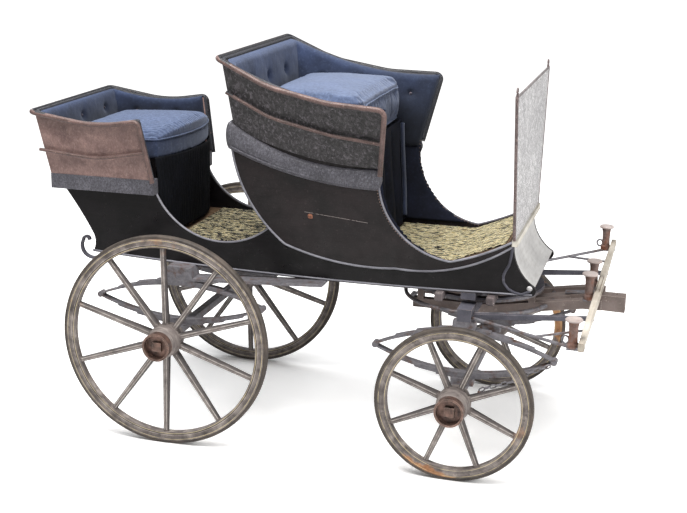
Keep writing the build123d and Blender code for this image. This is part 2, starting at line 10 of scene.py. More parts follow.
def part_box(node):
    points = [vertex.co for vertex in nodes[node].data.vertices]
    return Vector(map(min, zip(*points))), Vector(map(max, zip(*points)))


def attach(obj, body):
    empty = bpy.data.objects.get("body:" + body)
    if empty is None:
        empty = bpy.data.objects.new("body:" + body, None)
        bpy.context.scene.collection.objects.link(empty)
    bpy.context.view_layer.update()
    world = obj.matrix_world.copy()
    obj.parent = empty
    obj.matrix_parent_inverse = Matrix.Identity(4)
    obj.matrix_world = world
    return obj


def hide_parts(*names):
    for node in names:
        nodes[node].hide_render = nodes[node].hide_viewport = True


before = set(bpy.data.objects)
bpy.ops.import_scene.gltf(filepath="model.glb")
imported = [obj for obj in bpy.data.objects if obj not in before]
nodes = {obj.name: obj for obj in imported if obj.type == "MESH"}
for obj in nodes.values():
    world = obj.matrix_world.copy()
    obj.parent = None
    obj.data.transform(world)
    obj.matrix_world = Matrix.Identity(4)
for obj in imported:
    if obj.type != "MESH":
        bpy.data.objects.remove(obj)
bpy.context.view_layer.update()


# Places taken from the frame. Side views are measured from the rear axle and the floor.
def middle(node):
    low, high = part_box(node)
    return (low + high) / 2


REAR_AXLE_X = middle("rear_axle").x
WHEELBASE = middle("front_axle").x - REAR_AXLE_X


def at(x, y, z):
    """A point of the row frame from its distance ahead of the rear axle."""
    return Vector((REAR_AXLE_X + x, y, z))


# Camera, at the photograph's place
CAMERA_PLACE = (1.745, -6.308, 2.659)
CAMERA_FORWARD = Vector((-0.2527, 0.9302, -0.2662))
CAMERA_ROLL = 0.92
CAMERA_LENS = 69.35
SENSOR_WIDTH = 36


def make_camera():
    data = bpy.data.cameras.new("camera")
    data.lens = CAMERA_LENS
    data.sensor_width = SENSOR_WIDTH
    data.clip_end = 60
    camera = bpy.data.objects.new("camera", data)
    bpy.context.scene.collection.objects.link(camera)
    forward = CAMERA_FORWARD.normalized()
    side = forward.cross(Vector((0, 0, 1))).normalized()
    top = side.cross(forward)
    roll = math.radians(CAMERA_ROLL)
    right = math.cos(roll) * side + math.sin(roll) * top
    up = math.cos(roll) * top - math.sin(roll) * side
    camera.matrix_world = Matrix((
        (right.x, up.x, -forward.x, CAMERA_PLACE[0]),
        (right.y, up.y, -forward.y, CAMERA_PLACE[1]),
        (right.z, up.z, -forward.z, CAMERA_PLACE[2]),
        (0, 0, 0, 1),
    ))
    bpy.context.scene.camera = camera


# Soft studio light over a pale floor
WORLD_STRENGTH, BACKDROP_STRENGTH = 0.38, 1.02
FLOOR_HALF_SIZE = 30
LAMPS = (
    # name, place, target, size, power, tint
    ("overhead_lamp", (-0.6, -1.6, 5.2), (0, 0, 0.8), 3.2, 430, (1.0, 0.98, 0.95)),
    ("front_lamp", (5.4, -1.8, 2.8), (0.2, 0, 0.9), 2.4, 210, (1.0, 0.99, 0.97)),
    ("rear_lamp", (-4.5, 3.5, 3.6), (0, 0, 0.9), 3.0, 60, (0.95, 0.97, 1.0)),
)


def make_lights():
    world = bpy.data.worlds.new("studio")
    world.use_nodes = True
    background = world.node_tree.nodes["Background"]
    background.inputs["Color"].default_value = (1, 1, 1, 1)
    seen = world.node_tree.nodes.new("ShaderNodeLightPath").outputs["Is Camera Ray"]
    strength = world.node_tree.nodes.new("ShaderNodeMapRange")
    strength.inputs["To Min"].default_value = WORLD_STRENGTH
    strength.inputs["To Max"].default_value = BACKDROP_STRENGTH
    world.node_tree.links.new(seen, strength.inputs["Value"])
    world.node_tree.links.new(strength.outputs["Result"], background.inputs["Strength"])
    bpy.context.scene.world = world
    for name, place, target, size, power, tint in LAMPS:
        data = bpy.data.lights.new(name, "AREA")
        data.size = size
        data.energy = power
        data.color = tint
        lamp = bpy.data.objects.new(name, data)
        lamp.location = place
        lamp.rotation_euler = (Vector(target) - Vector(place)).to_track_quat("-Z", "Y").to_euler()
        bpy.context.scene.collection.objects.link(lamp)
    bpy.context.scene.view_settings.view_transform = "Standard"


def colour(red, green, blue):
    """Linear colour from a screen colour of 0 to 255."""
    parts = [c / 255 for c in (red, green, blue)]
    return tuple(c / 12.92 if c <= 0.04045 else ((c + 0.055) / 1.055) ** 2.4 for c in parts) + (1.0,)


class Finish:
    """A node material under construction. Each method adds one node and returns what it puts out."""

    def __init__(self, name, material=None):
        """Starts a material, or goes on with one that is given."""
        if material is None:
            material = bpy.data.materials.new(name)
            material.use_nodes = True
            material.node_tree.nodes.new("ShaderNodeTexCoord")
        self.material, self.tree = material, material.node_tree
        self.shader = self.tree.nodes["Principled BSDF"]
        self.place = self.tree.nodes["Texture Coordinate"].outputs["Object"]

    def node(self, kind, inputs=(), **settings):
        made = self.tree.nodes.new("ShaderNode" + kind)
        for key, value in settings.items():
            setattr(made, key, value)
        for key, value in dict(inputs).items():
            if isinstance(value, bpy.types.NodeSocket):
                self.tree.links.new(value, made.inputs[key])
            else:
                made.inputs[key].default_value = value
        return made

    def moved(self, shift=(0, 0, 0), scale=(1, 1, 1), vector=None):
        inputs = {"Vector": vector or self.place, "Location": shift, "Scale": scale}
        return self.node("Mapping", inputs).outputs["Vector"]

    def noise(self, scale, detail=4.0, roughness=0.55, distortion=0.0, vector=None):
        inputs = {"Vector": vector or self.place, "Scale": scale, "Detail": detail, "Roughness": roughness,
                  "Distortion": distortion}
        return self.node("TexNoise", inputs).outputs["Fac"]

    def cells(self, scale):
        return self.node("TexVoronoi", {"Vector": self.place, "Scale": scale}).outputs["Distance"]

    def wave(self, scale, direction="X", distortion=0.0, detail=2.0, detail_scale=1.0):
        inputs = {"Vector": self.place, "Scale": scale, "Distortion": distortion, "Detail": detail,
                  "Detail Scale": detail_scale}
        return self.node("TexWave", inputs, bands_direction=direction).outputs["Fac"]

    def ramp(self, value, stops):
        """A colour or grey ramp; each stop is a place from 0 to 1 with a colour or a number."""
        made = self.node("ValToRGB", {"Fac": value})
        ramp = made.color_ramp
        while len(ramp.elements) < len(stops):
            ramp.elements.new(0.5)
        for element, (spot, shade) in zip(ramp.elements, stops):
            element.position = spot
            element.color = colour(*shade) if isinstance(shade, tuple) else (shade, shade, shade, 1)
        return made.outputs["Color"]

    def rise(self, value, low, high, top=1.0):
        return self.ramp(value, ((low, 0.0), (high, top)))

    def fall(self, value, low, high, top=1.0):
        return self.ramp(value, ((low, top), (high, 0.0)))

    def math(self, operation, first, second=0.0, clamp=False):
        made = self.node("Math", {0: first, 1: second}, operation=operation, use_clamp=clamp)
        return made.outputs["Value"]

    times = partialmethod(math, "MULTIPLY")
    plus = partialmethod(math, "ADD")
    minus = partialmethod(math, "SUBTRACT")
    over = partialmethod(math, "DIVIDE")
    most = partialmethod(math, "MAXIMUM")
    below = partialmethod(math, "LESS_THAN")
    above = partialmethod(math, "GREATER_THAN")
    absolute = partialmethod(math, "ABSOLUTE")

    def parts(self, vector=None):
        return self.node("SeparateXYZ", {0: vector or self.place}).outputs

    def facing(self):
        return self.node("NewGeometry").outputs["Normal"]

    def length(self, vector):
        return self.node("VectorMath", {0: vector}, operation="LENGTH").outputs["Value"]

    def veins(self, scale, width=0.02, vector=None, distortion=0.4):
        """Thin crooked lines, 1 on the line and 0 beside it."""
        net = self.noise(scale, 5.0, 0.6, distortion, vector)
        return self.ramp(net, ((0.5 - width, 0.0), (0.5, 1.0), (0.5 + width, 0.0)))

    def mix(self, share, first, second, blend="MIX"):
        first, second = (colour(*shade) if isinstance(shade, tuple) else shade for shade in (first, second))
        made = self.node("MixRGB", {"Fac": share, "Color1": first, "Color2": second}, blend_type=blend)
        return made.outputs["Color"]

    def bump(self, height, strength, distance, below=None):
        inputs = {"Height": height, "Strength": strength, "Distance": distance}
        if below is not None:
            inputs["Normal"] = below
        return self.node("Bump", inputs).outputs["Normal"]

    def edges(self, radius):
        """1 on corners and rims of the mesh, 0 on its flats."""
        bevel = self.node("Bevel", {"Radius": radius}, samples=4).outputs["Normal"]
        likeness = self.node("VectorMath", {0: bevel, 1: self.facing()},
                             operation="DOT_PRODUCT").outputs["Value"]
        return self.fall(likeness, 0.55, 0.985)

    def done(self, base, roughness=None, normal=None, **constants):
        for key, value in {"Base Color": base, "Roughness": roughness, "Normal": normal,
                           **constants}.items():
            if isinstance(value, bpy.types.NodeSocket):
                self.tree.links.new(value, self.shader.inputs[key])
            elif value is not None:
                self.shader.inputs[key].default_value = value
        return self.material

    def so_far(self):
        """What makes the material's colour so far."""
        return self.shader.inputs["Base Color"].links[0].from_socket


# Finishes
def painted(name, main, dark, chipped, gloss=0.38, wear=0.5, streaks=(3, 3, 26), dust=0.25):
    """Old coach paint: uneven colour, fine crazing, chips along the edges."""
    f = Finish(name)
    cloud = f.noise(5.0, 6.0, 0.6)
    streak = f.noise(3.0, 5.0, 0.65, vector=f.moved(scale=streaks))
    base = f.mix(f.rise(cloud, 0.3, 0.72), dark, main)
    base = f.mix(f.rise(streak, 0.45, 0.75, 0.55), base, chipped, "SOFT_LIGHT")
    cracks = f.minus(1.0, f.veins(42.0, 0.02))
    chips = f.above(f.noise(38.0, 8.0, 0.7), 0.64)
    worn = f.times(f.edges(0.006), f.rise(f.noise(14.0, 6.0), 0.5 - wear * 0.3, 0.66))
    worn = f.most(worn, f.times(chips, wear * 0.5), clamp=True)
    base = f.mix(worn, base, chipped)
    rough = f.ramp(f.noise(22.0, 5.0), ((0.3, gloss - 0.08), (0.75, gloss + 0.25)))
    specks = f.rise(f.noise(150.0, 6.0, 0.75), 0.56, 0.70, dust)
    base = f.mix(specks, base, chipped)
    normal = f.bump(cracks, 0.12, 0.0006)
    normal = f.bump(f.noise(60.0, 8.0, 0.75), 0.45, 0.0016, normal)
    return f.done(base, rough, normal, **{"Coat Weight": 0.08, "Coat Roughness": 0.2,
                                          "Specular IOR Level": 0.2})


# Marks on the right side of the main seat: a chip down to the primer, and a long scratch
CHIP, CHIP_RADIUS = (0.671, 1.158), 0.0125
SCRATCH, SCRATCH_WIDTH = ((0.6425, 1.1787), (0.9546, 1.1475)), 0.0022


def seat_side_paint(name):
    """The body's paint with the chip and the scratch on its right side."""
    f = Finish(name, painted(name, (33, 25, 27), (9, 7, 9), (104, 90, 90), 0.34, 0.2, dust=0.16))
    spot = f.parts()
    right_side = f.below(spot["Y"], 0.0)
    x = f.minus(spot["X"], REAR_AXLE_X)
    jitter = f.times(f.minus(f.noise(90.0, 3.0), 0.5), 0.012)
    offset = f.node("CombineXYZ", {"X": f.minus(x, CHIP[0]), "Z": f.minus(spot["Z"], CHIP[1])})
    away = f.plus(f.length(offset.outputs["Vector"]), jitter)
    chip = f.times(f.below(away, CHIP_RADIUS), right_side)
    (x0, z0), (x1, z1) = SCRATCH
    line = f.plus(f.times(f.minus(x, x0), (z1 - z0) / (x1 - x0)), z0)
    near = f.below(f.absolute(f.minus(spot["Z"], line)), SCRATCH_WIDTH / 2)
    inside = f.times(f.above(x, x0), f.below(x, x1))
    broken = f.above(f.noise(60.0, 4.0), 0.42)
    scratch = f.times(f.times(near, inside), f.times(broken, right_side))
    primer = f.ramp(f.noise(60.0, 5.0), ((0.40, (84, 52, 42)), (0.58, (150, 98, 74))))
    base = f.mix(chip, f.so_far(), primer)
    return f.done(f.mix(scratch, base, (128, 120, 118)))


def leather(name, main, dark, worn_and_highlight_colour, grain=240.0, crackle_and_crease_shading=0.5, gloss=0.5, wear=0.5):
    """Hide with a pebbled grain and drying cracks, rubbed pale on its edges; its wrinkles carry painted shade
    in their hollows and painted highlight on their crests.
    """
    f = Finish(name)
    patches = f.noise(9.0, 7.0, 0.62)
    base = f.mix(f.rise(patches, 0.32, 0.70), dark, main)
    pebble = f.cells(grain)
    cracks = f.veins(grain * 0.20, 0.035, f.moved(scale=(1, 1, 1.8)), 0.8)
    where = f.ramp(f.noise(7.0, 4.0), ((0.30, 0.3), (0.58, 1.0)))
    crack_here = f.times(cracks, where)
    base = f.mix(f.times(crack_here, crackle_and_crease_shading), base, dark)
    rubbed = f.times(f.edges(0.008), f.rise(f.noise(20.0, 6.0), 0.5 - wear * 0.3, 0.7))
    flakes = f.rise(f.noise(55.0, 7.0, 0.7), 0.60, 0.68, wear)
    base = f.mix(f.most(rubbed, flakes, clamp=True), base, worn_and_highlight_colour)
    rough = f.ramp(f.noise(30.0, 4.0), ((0.3, gloss - 0.1), (0.7, gloss + 0.18)))
    wrinkle = f.noise(grain * 0.5, 6.0, 0.7, 0.8, f.moved(scale=(1.3, 1.3, 0.8)))
    # Painted shade in the wrinkles' hollows and painted highlight on their crests
    base = f.mix(f.fall(wrinkle, 0.43, 0.50, 0.92 * crackle_and_crease_shading), base, dark)
    base = f.mix(f.rise(wrinkle, 0.53, 0.66, 0.6 * crackle_and_crease_shading), base, worn_and_highlight_colour)
    normal = f.bump(pebble, 0.25, 0.0006)
    normal = f.bump(wrinkle, 0.9 * crackle_and_crease_shading, 0.004, normal)
    normal = f.bump(f.minus(1.0, crack_here), 0.5 * crackle_and_crease_shading + 0.05, 0.0016, normal)
    normal = f.bump(f.noise(26.0, 5.0), 0.35, 0.004, normal)
    return f.done(base, rough, normal, **{"Sheen Weight": 0.08, "Sheen Roughness": 0.4})


# Where the rails' backs lie ahead of the rear axle: the main seat's between two places, the rear's behind one
MAIN_RAIL_BACK, REAR_RAIL_BACK = (0.0, 0.32), -0.68


def rail_hide(name):
    """Brown leather over the seat rails, with its side towards the seat near black."""
    f = Finish(name, leather(name, (108, 84, 80), (54, 40, 38), (170, 142, 134), 320.0, 0.4, 0.38, 0.7))
    spot, facing = f.parts(), f.parts(f.facing())
    inner_side = f.below(f.times(facing["Y"], spot["Y"]), -0.04)
    x = f.minus(spot["X"], REAR_AXLE_X)
    main_back = f.times(f.below(x, MAIN_RAIL_BACK[1]), f.above(x, MAIN_RAIL_BACK[0]))
    at_back = f.most(main_back, f.below(x, REAR_RAIL_BACK))
    inner_back = f.times(at_back, f.above(facing["X"], 0.1))
    inner = f.most(inner_side, inner_back)
    return f.done(f.mix(inner, f.so_far(), (24, 25, 32)))


def dash_hide(name):
    """Pale enamelled leather with a dense net of dark cracks and flaked patches."""
    f = Finish(name)
    bend = f.noise(9.0, 4.0)
    base = f.ramp(bend, ((0.3, (220, 219, 221)), (0.7, (252, 251, 252))))
    coarse = f.veins(26.0, 0.035)
    fine = f.veins(60.0, 0.05, distortion=1.0)
    flakes = f.rise(f.noise(44.0, 7.0, 0.7, 0.8), 0.56, 0.62, 0.8)
    creases = f.fall(f.noise(58.0, 5.0, 0.7, 0.9, f.moved(scale=(1, 1.5, 0.8))), 0.45, 0.51)
    marks = f.most(f.most(coarse, fine), f.most(flakes, creases), clamp=True)
    base = f.mix(f.times(marks, 0.72), base, (78, 76, 80))
    normal = f.bump(f.minus(1.0, marks), 0.6, 0.002)
    return f.done(base, f.ramp(bend, ((0.3, 0.35), (0.7, 0.6))), normal)


# How fine the twill of every cloth is
TWILL = 900.0


def woven_cloth(name, main, dark, faded_and_lit, top_fade_and_light=0.6, sheen=0.35, shade=None):
    """Blue wool cloth: fine twill, a soft nap, dusty where hands reach, and paler on faces that point up,
    partly from real fading where light reaches and partly as painted top light; where shade heights are
    given, painted shade darkens it towards the bottom.
    """
    f = Finish(name)
    warp = f.wave(TWILL, "DIAGONAL", 0.6, 2.0, 2.0)
    patches = f.noise(6.0, 6.0, 0.6)
    fine = f.noise(70.0, 6.0, 0.7)
    base = f.mix(f.rise(patches, 0.30, 0.72), dark, main)
    # Faces that point up grow paler: partly real fading, partly painted top light
    upward = f.parts(f.facing())["Z"]
    lit = f.times(f.rise(upward, 0.35, 0.95), top_fade_and_light)
    base = f.mix(f.times(lit, f.ramp(fine, ((0.35, 0.3), (0.65, 1.0)))), base, faded_and_lit)
    base = f.mix(f.rise(fine, 0.52, 0.75, 0.30), base, faded_and_lit)
    base = f.mix(f.fall(warp, 0.0, 1.0, 0.22), base, dark)
    # Painted shade: the cloth darkens towards the bottom of the given heights
    if shade:
        up = f.over(f.minus(f.parts()["Z"], shade[0]), shade[1] - shade[0], clamp=True)
        base = f.mix(1.0, base, f.ramp(up, ((0.0, 0.05), (0.55, 0.26), (1.0, 0.95))), "MULTIPLY")
    normal = f.bump(warp, 0.18, 0.0005)
    normal = f.bump(f.noise(48.0, 5.0), 0.28, 0.003, normal)
    return f.done(base, 0.92, normal, **{"Specular IOR Level": 0.2, "Sheen Weight": sheen,
                                         "Sheen Roughness": 0.55, "Sheen Tint": (0.65, 0.72, 0.9, 1.0)})


def straw_mat(name, dark=0.0):
    """Woven straw: yellow strands in a coarse plait, with black flecks and loose fibres."""
    f = Finish(name)
    twist = f.noise(45.0, 5.0, 0.7, 1.2)
    strands = f.wave(160.0, "X", 5.0, 3.0, 3.0)
    cross = f.wave(110.0, "Y", 6.0, 3.0, 3.0)
    plait = f.most(f.times(strands, 0.9), cross)
    base = f.mix(f.rise(twist, 0.32, 0.66), (204, 182, 116), (255, 248, 214))
    base = f.mix(f.fall(plait, 0.0, 0.40, 0.35), base, (84, 68, 38))
    along = f.moved(scale=(1, 3.2, 1))
    # A larger dark adds more black flecks; on the rear mat they are partly real flecks and partly painted
    # shade
    flecks = f.rise(f.noise(30.0, 2.0, 0.5, 0.5, along), 0.545 - dark, 0.562 - dark)
    small = f.rise(f.noise(80.0, 3.0, 0.6, 0.8, along), 0.58 - dark, 0.60 - dark, 0.95)
    base = f.mix(f.most(flecks, small), base, (13, 12, 13))
    normal = f.bump(plait, 0.9, 0.004)
    normal = f.bump(twist, 0.7, 0.004, normal)
    return f.done(base, 0.85, normal)


def cast_iron(name, main, rust, rust_share=0.4, metal=0.55):
    """Old wrought iron with dull scale and rust in patches."""
    f = Finish(name)
    spread = f.noise(16.0, 8.0, 0.66)
    stains = f.rise(spread, 0.62 - rust_share * 0.3, 0.74 - rust_share * 0.2)
    grime = f.ramp(f.noise(60.0, 6.0, 0.7), ((0.35, 0.55), (0.7, 1.0)))
    base = f.mix(stains, main, rust)
    base = f.mix(1.0, base, grime, "MULTIPLY")
    bright = f.times(f.edges(0.004), f.rise(f.noise(25.0, 5.0), 0.4, 0.7, 0.7))
    base = f.mix(bright, base, (168, 164, 160))
    rough = f.ramp(f.noise(35.0, 5.0), ((0.3, 0.42), (0.75, 0.8)))
    normal = f.bump(f.noise(120.0, 6.0, 0.7), 0.35, 0.0012)
    return f.done(base, rough, normal, **{"Metallic": metal})


def brass(name):
    f = Finish(name)
    tarnish = f.rise(f.noise(24.0, 7.0, 0.65), 0.38, 0.66)
    base = f.mix(tarnish, (124, 98, 88), (50, 42, 41))
    bright = f.times(f.edges(0.003), 0.8)
    base = f.mix(bright, base, (204, 184, 170))
    rough = f.ramp(f.noise(40.0, 5.0), ((0.3, 0.28), (0.75, 0.6)))
    return f.done(base, rough, f.bump(f.noise(90.0, 5.0), 0.25, 0.0008), **{"Metallic": 0.6})


def floor_wood(name):
    f = Finish(name)
    grain = f.noise(7.0, 8.0, 0.65, 0.6, vector=f.moved(scale=(1.0, 9, 9)))
    base = f.ramp(grain, ((0.3, (52, 38, 28)), (0.55, (96, 74, 52)), (0.8, (128, 102, 74))))
    rough = f.ramp(grain, ((0.3, 0.85), (0.8, 0.6)))
    return f.done(base, rough, f.bump(grain, 0.5, 0.002))


# Painted lines on the wheels, from the wheel's centre in metres
LINE_INSET, LINE_WIDTH = 0.006, 0.0024
STRIPE_OFF, STRIPE_WIDTH, SPOKE_EDGE_OFF = 0.0060, 0.0028, 0.0095
FELLOE_DEPTH, PAINTED_DEPTH, SPOKE_REACH, NAVE_REACH = 0.045, 0.042, 0.05, 0.09
SPOKES = {"rear": 10, "front": 8}


def wheel_wood(name, centre, rim, seed, spokes, rust):
    """Grey-brown wheel paint worn to bare wood, with a fine yellowish line along both edges of the rim."""
    f = Finish(name)
    local = f.moved(shift=(-centre.x, 0, -centre.z))
    flat = f.node("VectorMath", {0: local, 1: (1, 0, 1)}, operation="MULTIPLY").outputs["Vector"]
    radius = f.length(flat)
    drift = f.moved(shift=(seed * 3.1, seed * 1.7, seed * 2.3))
    grain = f.noise(11.0, 7.0, 0.65, 0.4, vector=f.moved(scale=(1, 4, 1), vector=drift))
    base = f.ramp(grain, ((0.28, (60, 54, 53)), (0.52, (110, 102, 99)), (0.78, (152, 144, 139))))
    rings = f.noise(190.0, 4.0, 0.6, vector=f.node("CombineXYZ", {"X": radius}).outputs["Vector"])
    worn_rings = f.plus(rings, f.times(f.minus(f.noise(24.0, 4.0), 0.5), 0.35))
    outside = f.above(radius, rim - FELLOE_DEPTH)
    base = f.mix(f.times(outside, f.fall(worn_rings, 0.40, 0.50, 0.85)), base, (40, 34, 33))
    base = f.mix(f.times(outside, f.rise(worn_rings, 0.54, 0.64, 0.75)), base, (186, 176, 168))
    parts = f.parts(local)
    turn = f.minus(f.math("ARCTAN2", parts["Z"], parts["X"]), math.pi / spokes)
    away = f.absolute(f.math("SINE", f.times(turn, spokes / 2)))
    aside = f.times(f.times(away, radius), 2 / spokes)
    stripe = f.below(f.absolute(f.minus(aside, STRIPE_OFF)), STRIPE_WIDTH / 2)
    on_spoke = f.times(f.below(radius, rim - SPOKE_REACH), f.above(radius, NAVE_REACH))
    faded_line = f.ramp(f.noise(30.0, 4.0, vector=drift), ((0.36, 0.2), (0.56, 0.85)))
    edge_dark = f.times(f.above(aside, SPOKE_EDGE_OFF), 0.6)
    base = f.mix(f.times(edge_dark, on_spoke), base, (44, 42, 46))
    base = f.mix(f.times(f.times(stripe, on_spoke), faded_line), base, (188, 182, 176))
    bare = f.rise(f.noise(3.4, 6.0, 0.62, vector=drift), 0.62, 0.72, 0.8)
    if rust:
        ahead, up, reach = rust
        toward = f.over(f.plus(f.times(parts["X"], ahead), f.times(parts["Z"], up)), rim)
        ragged = f.plus(toward, f.times(f.minus(f.noise(16.0, 5.0), 0.5), 0.2))
        bare = f.most(bare, f.rise(ragged, reach, reach + 0.03, 0.9), clamp=True)
    at_rim = f.ramp(f.over(radius, rim), ((0.80, 0.1), (0.90, 1.0)))
    bare = f.times(bare, at_rim)
    base = f.mix(bare, base, f.ramp(grain, ((0.3, (126, 78, 44)), (0.7, (186, 138, 92)))))
    chips = f.rise(f.noise(46.0, 7.0, 0.7, vector=drift), 0.58, 0.64)
    base = f.mix(f.times(chips, 0.55), base, (48, 38, 33))
    for distance in (rim - LINE_INSET, rim - PAINTED_DEPTH + LINE_INSET):
        off = f.absolute(f.minus(radius, distance))
        line = f.below(off, LINE_WIDTH / 2)
        kept = f.ramp(f.noise(18.0, 5.0, vector=drift), ((0.36, 0.15), (0.52, 0.8)))
        base = f.mix(f.times(line, kept), base, (200, 184, 142))
    edge = f.times(f.edges(0.004), f.rise(f.noise(26.0, 5.0), 0.4, 0.7, 0.8))
    base = f.mix(edge, base, (164, 152, 142))
    rough = f.ramp(grain, ((0.3, 0.72), (0.8, 0.5)))
    normal = f.bump(grain, 0.35, 0.0015)
    normal = f.bump(chips, 0.2, 0.0006, normal)
    return f.done(base, rough, normal)


def tyre_finish(name):
    f = Finish(name)
    dust = f.noise(14.0, 7.0, 0.65)
    base = f.ramp(dust, ((0.3, (40, 36, 34)), (0.6, (78, 70, 64)), (0.85, (120, 106, 94))))
    return f.done(base, f.ramp(dust, ((0.3, 0.6), (0.8, 0.9))), f.bump(f.noise(80.0, 5.0), 0.4, 0.001))


# Finishes by kind, with what each kind's function takes after the name
PAINTS = {
    # main, dark, chipped, gloss, wear, streaks, dust
    "body_paint": ((20, 17, 20), (5, 5, 7), (90, 82, 82), 0.32, 0.2, (3, 3, 26), 0.12),
    "pale_paint": ((206, 205, 204), (176, 175, 175), (112, 106, 102), 0.5, 0.25, (3, 3, 26), 0.15),
    "cream_paint": ((222, 219, 211), (186, 180, 168), (92, 80, 70), 0.5, 0.5),
    "gear_paint": ((98, 98, 108), (52, 52, 60), (160, 150, 148), 0.45, 0.6),
    "gear_wood": ((134, 122, 118), (72, 63, 60), (186, 174, 166), 0.5, 0.7, (2, 14, 14)),
    "bead_paint": ((150, 150, 158), (92, 92, 100), (60, 54, 54), 0.4, 0.4),
    "worn_gear_paint": ((122, 114, 116), (56, 52, 54), (206, 190, 184), 0.45, 0.9),
    "moulding_paint": ((84, 84, 94), (34, 34, 40), (150, 148, 156), 0.35, 0.4),
    "splinter_paint": ((204, 198, 188), (168, 160, 148), (92, 76, 66), 0.5, 0.7, (14, 2, 14)),
    "worn_cap": ((206, 198, 196), (150, 138, 134), (104, 78, 66), 0.4, 0.5),
    "fine_line": ((120, 96, 60), (70, 56, 44), (60, 50, 44), 0.5, 0.3),
}
LEATHERS = {
    # main, dark (also the painted shade in wrinkle hollows), worn (also the painted highlight on wrinkle
    # crests), grain, crackle (also the strength of that painted shade and highlight), gloss, wear
    "black_leather": ((58, 53, 57), (10, 8, 10), (118, 113, 120), 120.0, 1.0, 0.40, 0.3),
    "brown_leather": ((148, 120, 114), (88, 66, 63), (184, 160, 152), 200.0, 0.4, 0.40, 0.3),
    "grey_leather": ((96, 95, 104), (50, 49, 56), (128, 127, 136), 220.0, 0.8, 0.5, 0.25),
    "binding_leather": ((118, 100, 98), (58, 48, 50), (178, 156, 150), 300.0, 0.6, 0.4, 0.6),
    "dash_binding_grey": ((134, 128, 128), (80, 74, 76), (196, 188, 184), 300.0, 0.5, 0.45, 0.5),
    "dark_welt": ((44, 46, 56), (20, 21, 28), (96, 98, 110), 300.0, 0.4, 0.5, 0.4),
}
CLOTHS = {
    # main, dark, faded (also the painted top light), fade (how much faces that point up take it: partly real
    # fading, partly painted top light), sheen, the heights between which it grows paler out of its painted
    # shade
    "blue_cloth": ((50, 61, 90), (24, 31, 50), (108, 124, 156)),
    "main_squab_cloth": ((50, 62, 92), (26, 33, 52), (92, 108, 142), 0.3, 0.2, (1.36, 1.84)),
    "rear_squab_cloth": ((50, 62, 92), (26, 33, 52), (92, 108, 142), 0.3, 0.2, (1.34, 1.58)),
    "lining_cloth": ((26, 30, 47), (9, 11, 19), (48, 56, 82), 0.1, 0.05),
    "fall_cloth": ((20, 24, 39), (6, 8, 14), (48, 56, 84), 0.1, 0.0),
    # The rear seat's skirt: a darker copy of the fall cloth, painting the shade under the rear cushion
    "skirt_cloth": ((9, 11, 19), (3, 4, 7), (30, 36, 56), 0.1, 0.0),
    "flap_cloth": ((38, 46, 70), (10, 13, 23), (84, 98, 134), 0.4),
    "button_cloth": ((54, 50, 62), (26, 24, 34), (150, 126, 122)),
}
IRONS = {
    # main, rust, share of rust, metal
    "iron": ((128, 126, 132), (104, 78, 66), 0.35, 0.35),
    "roller_iron": ((132, 112, 106), (124, 78, 58), 0.6, 0.3),
    "bright_boss": ((214, 212, 214), (120, 104, 96), 0.1, 0.6),
}
OTHERS = {
    "floor_wood": (floor_wood,),
    "rail_leather": (rail_hide,),
    "dash_leather": (dash_hide,),
    "straw_mat": (straw_mat,),
    # The rear mat's copy with more black flecks: partly real flecks, partly painted shade
    "dark_straw_mat": (straw_mat, 0.055),
    "tyre_rubber": (tyre_finish,),
    "hub_brass": (brass,),
    "nail_brass": (brass,),
    "seat_side_paint": (seat_side_paint,),
}
FINISHES = {name: make(name, *look) for name, (make, *look) in OTHERS.items()}
for make, rows in ((painted, PAINTS), (leather, LEATHERS), (woven_cloth, CLOTHS), (cast_iron, IRONS)):
    FINISHES.update({name: make(name, *look) for name, look in rows.items()})
# Where bare rusty wood shows on a rim: direction ahead and up, and how far it spreads
RUSTED = {"front_right": (-0.29, -0.957, 0.90), "front_left": (0.95, 0.31, 0.80)}
WHEELS = ("rear_left", "rear_right", "front_left", "front_right")
for number, wheel in enumerate(WHEELS):
    low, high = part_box(wheel + "_wheel")
    FINISHES[wheel + "_wood"] = wheel_wood(wheel + "_wood", middle(wheel + "_wheel"),
                                           (high.z - low.z) / 2, number, SPOKES[wheel.split("_")[0]],
                                           RUSTED.get(wheel))


def assign(piece, finish):
    piece.data.materials.clear()
    piece.data.materials.append(FINISHES[finish])


NODE_FINISHES = {
    "body_paint": ("body_side_panels", "rear_panel", "main_seat_box", "rear_seat_box"),
    "seat_side_paint": ("main_seat_side_panels",),
    "gear_paint": ("upper_fifth_wheel", "lower_bed"),
    "gear_wood": ("pole_stub", "futchells"),
    "floor_wood": ("floor_boards",),
    "pale_paint": ("toe_board",),
    "cream_paint": ("dash_bar", "splinter_bar"),
    "black_leather": ("main_seat_shell",),
    "brown_leather": ("rear_seat_shell",),
    "rail_leather": ("main_seat_rails", "rear_seat_rails"),
    "grey_leather": ("rear_seat_roll",),
    "dash_leather": ("dash_panel",),
    "blue_cloth": ("main_seat_lining", "main_cushion", "rear_cushion", "main_seat_fall", "rear_seat_fall"),
    "straw_mat": ("floor_mats",),
    "iron": ("rear_axle", "rear_springs", "rear_spring_pads", "body_loops", "kingpin", "lower_fifth_wheel",
             "front_axle", "front_springs", "front_spring_pads",
             "front_spring_top_pads", "roller_bolts"),
}


def finish_nodes():
    for finish, names in NODE_FINISHES.items():
        for name in names:
            assign(nodes[name], finish)
    for wheel in WHEELS:
        assign(nodes[wheel + "_wheel"], wheel + "_wood")
        assign(nodes[wheel + "_tyre"], "tyre_rubber")
        assign(nodes[wheel + "_hub_band"], "hub_brass")


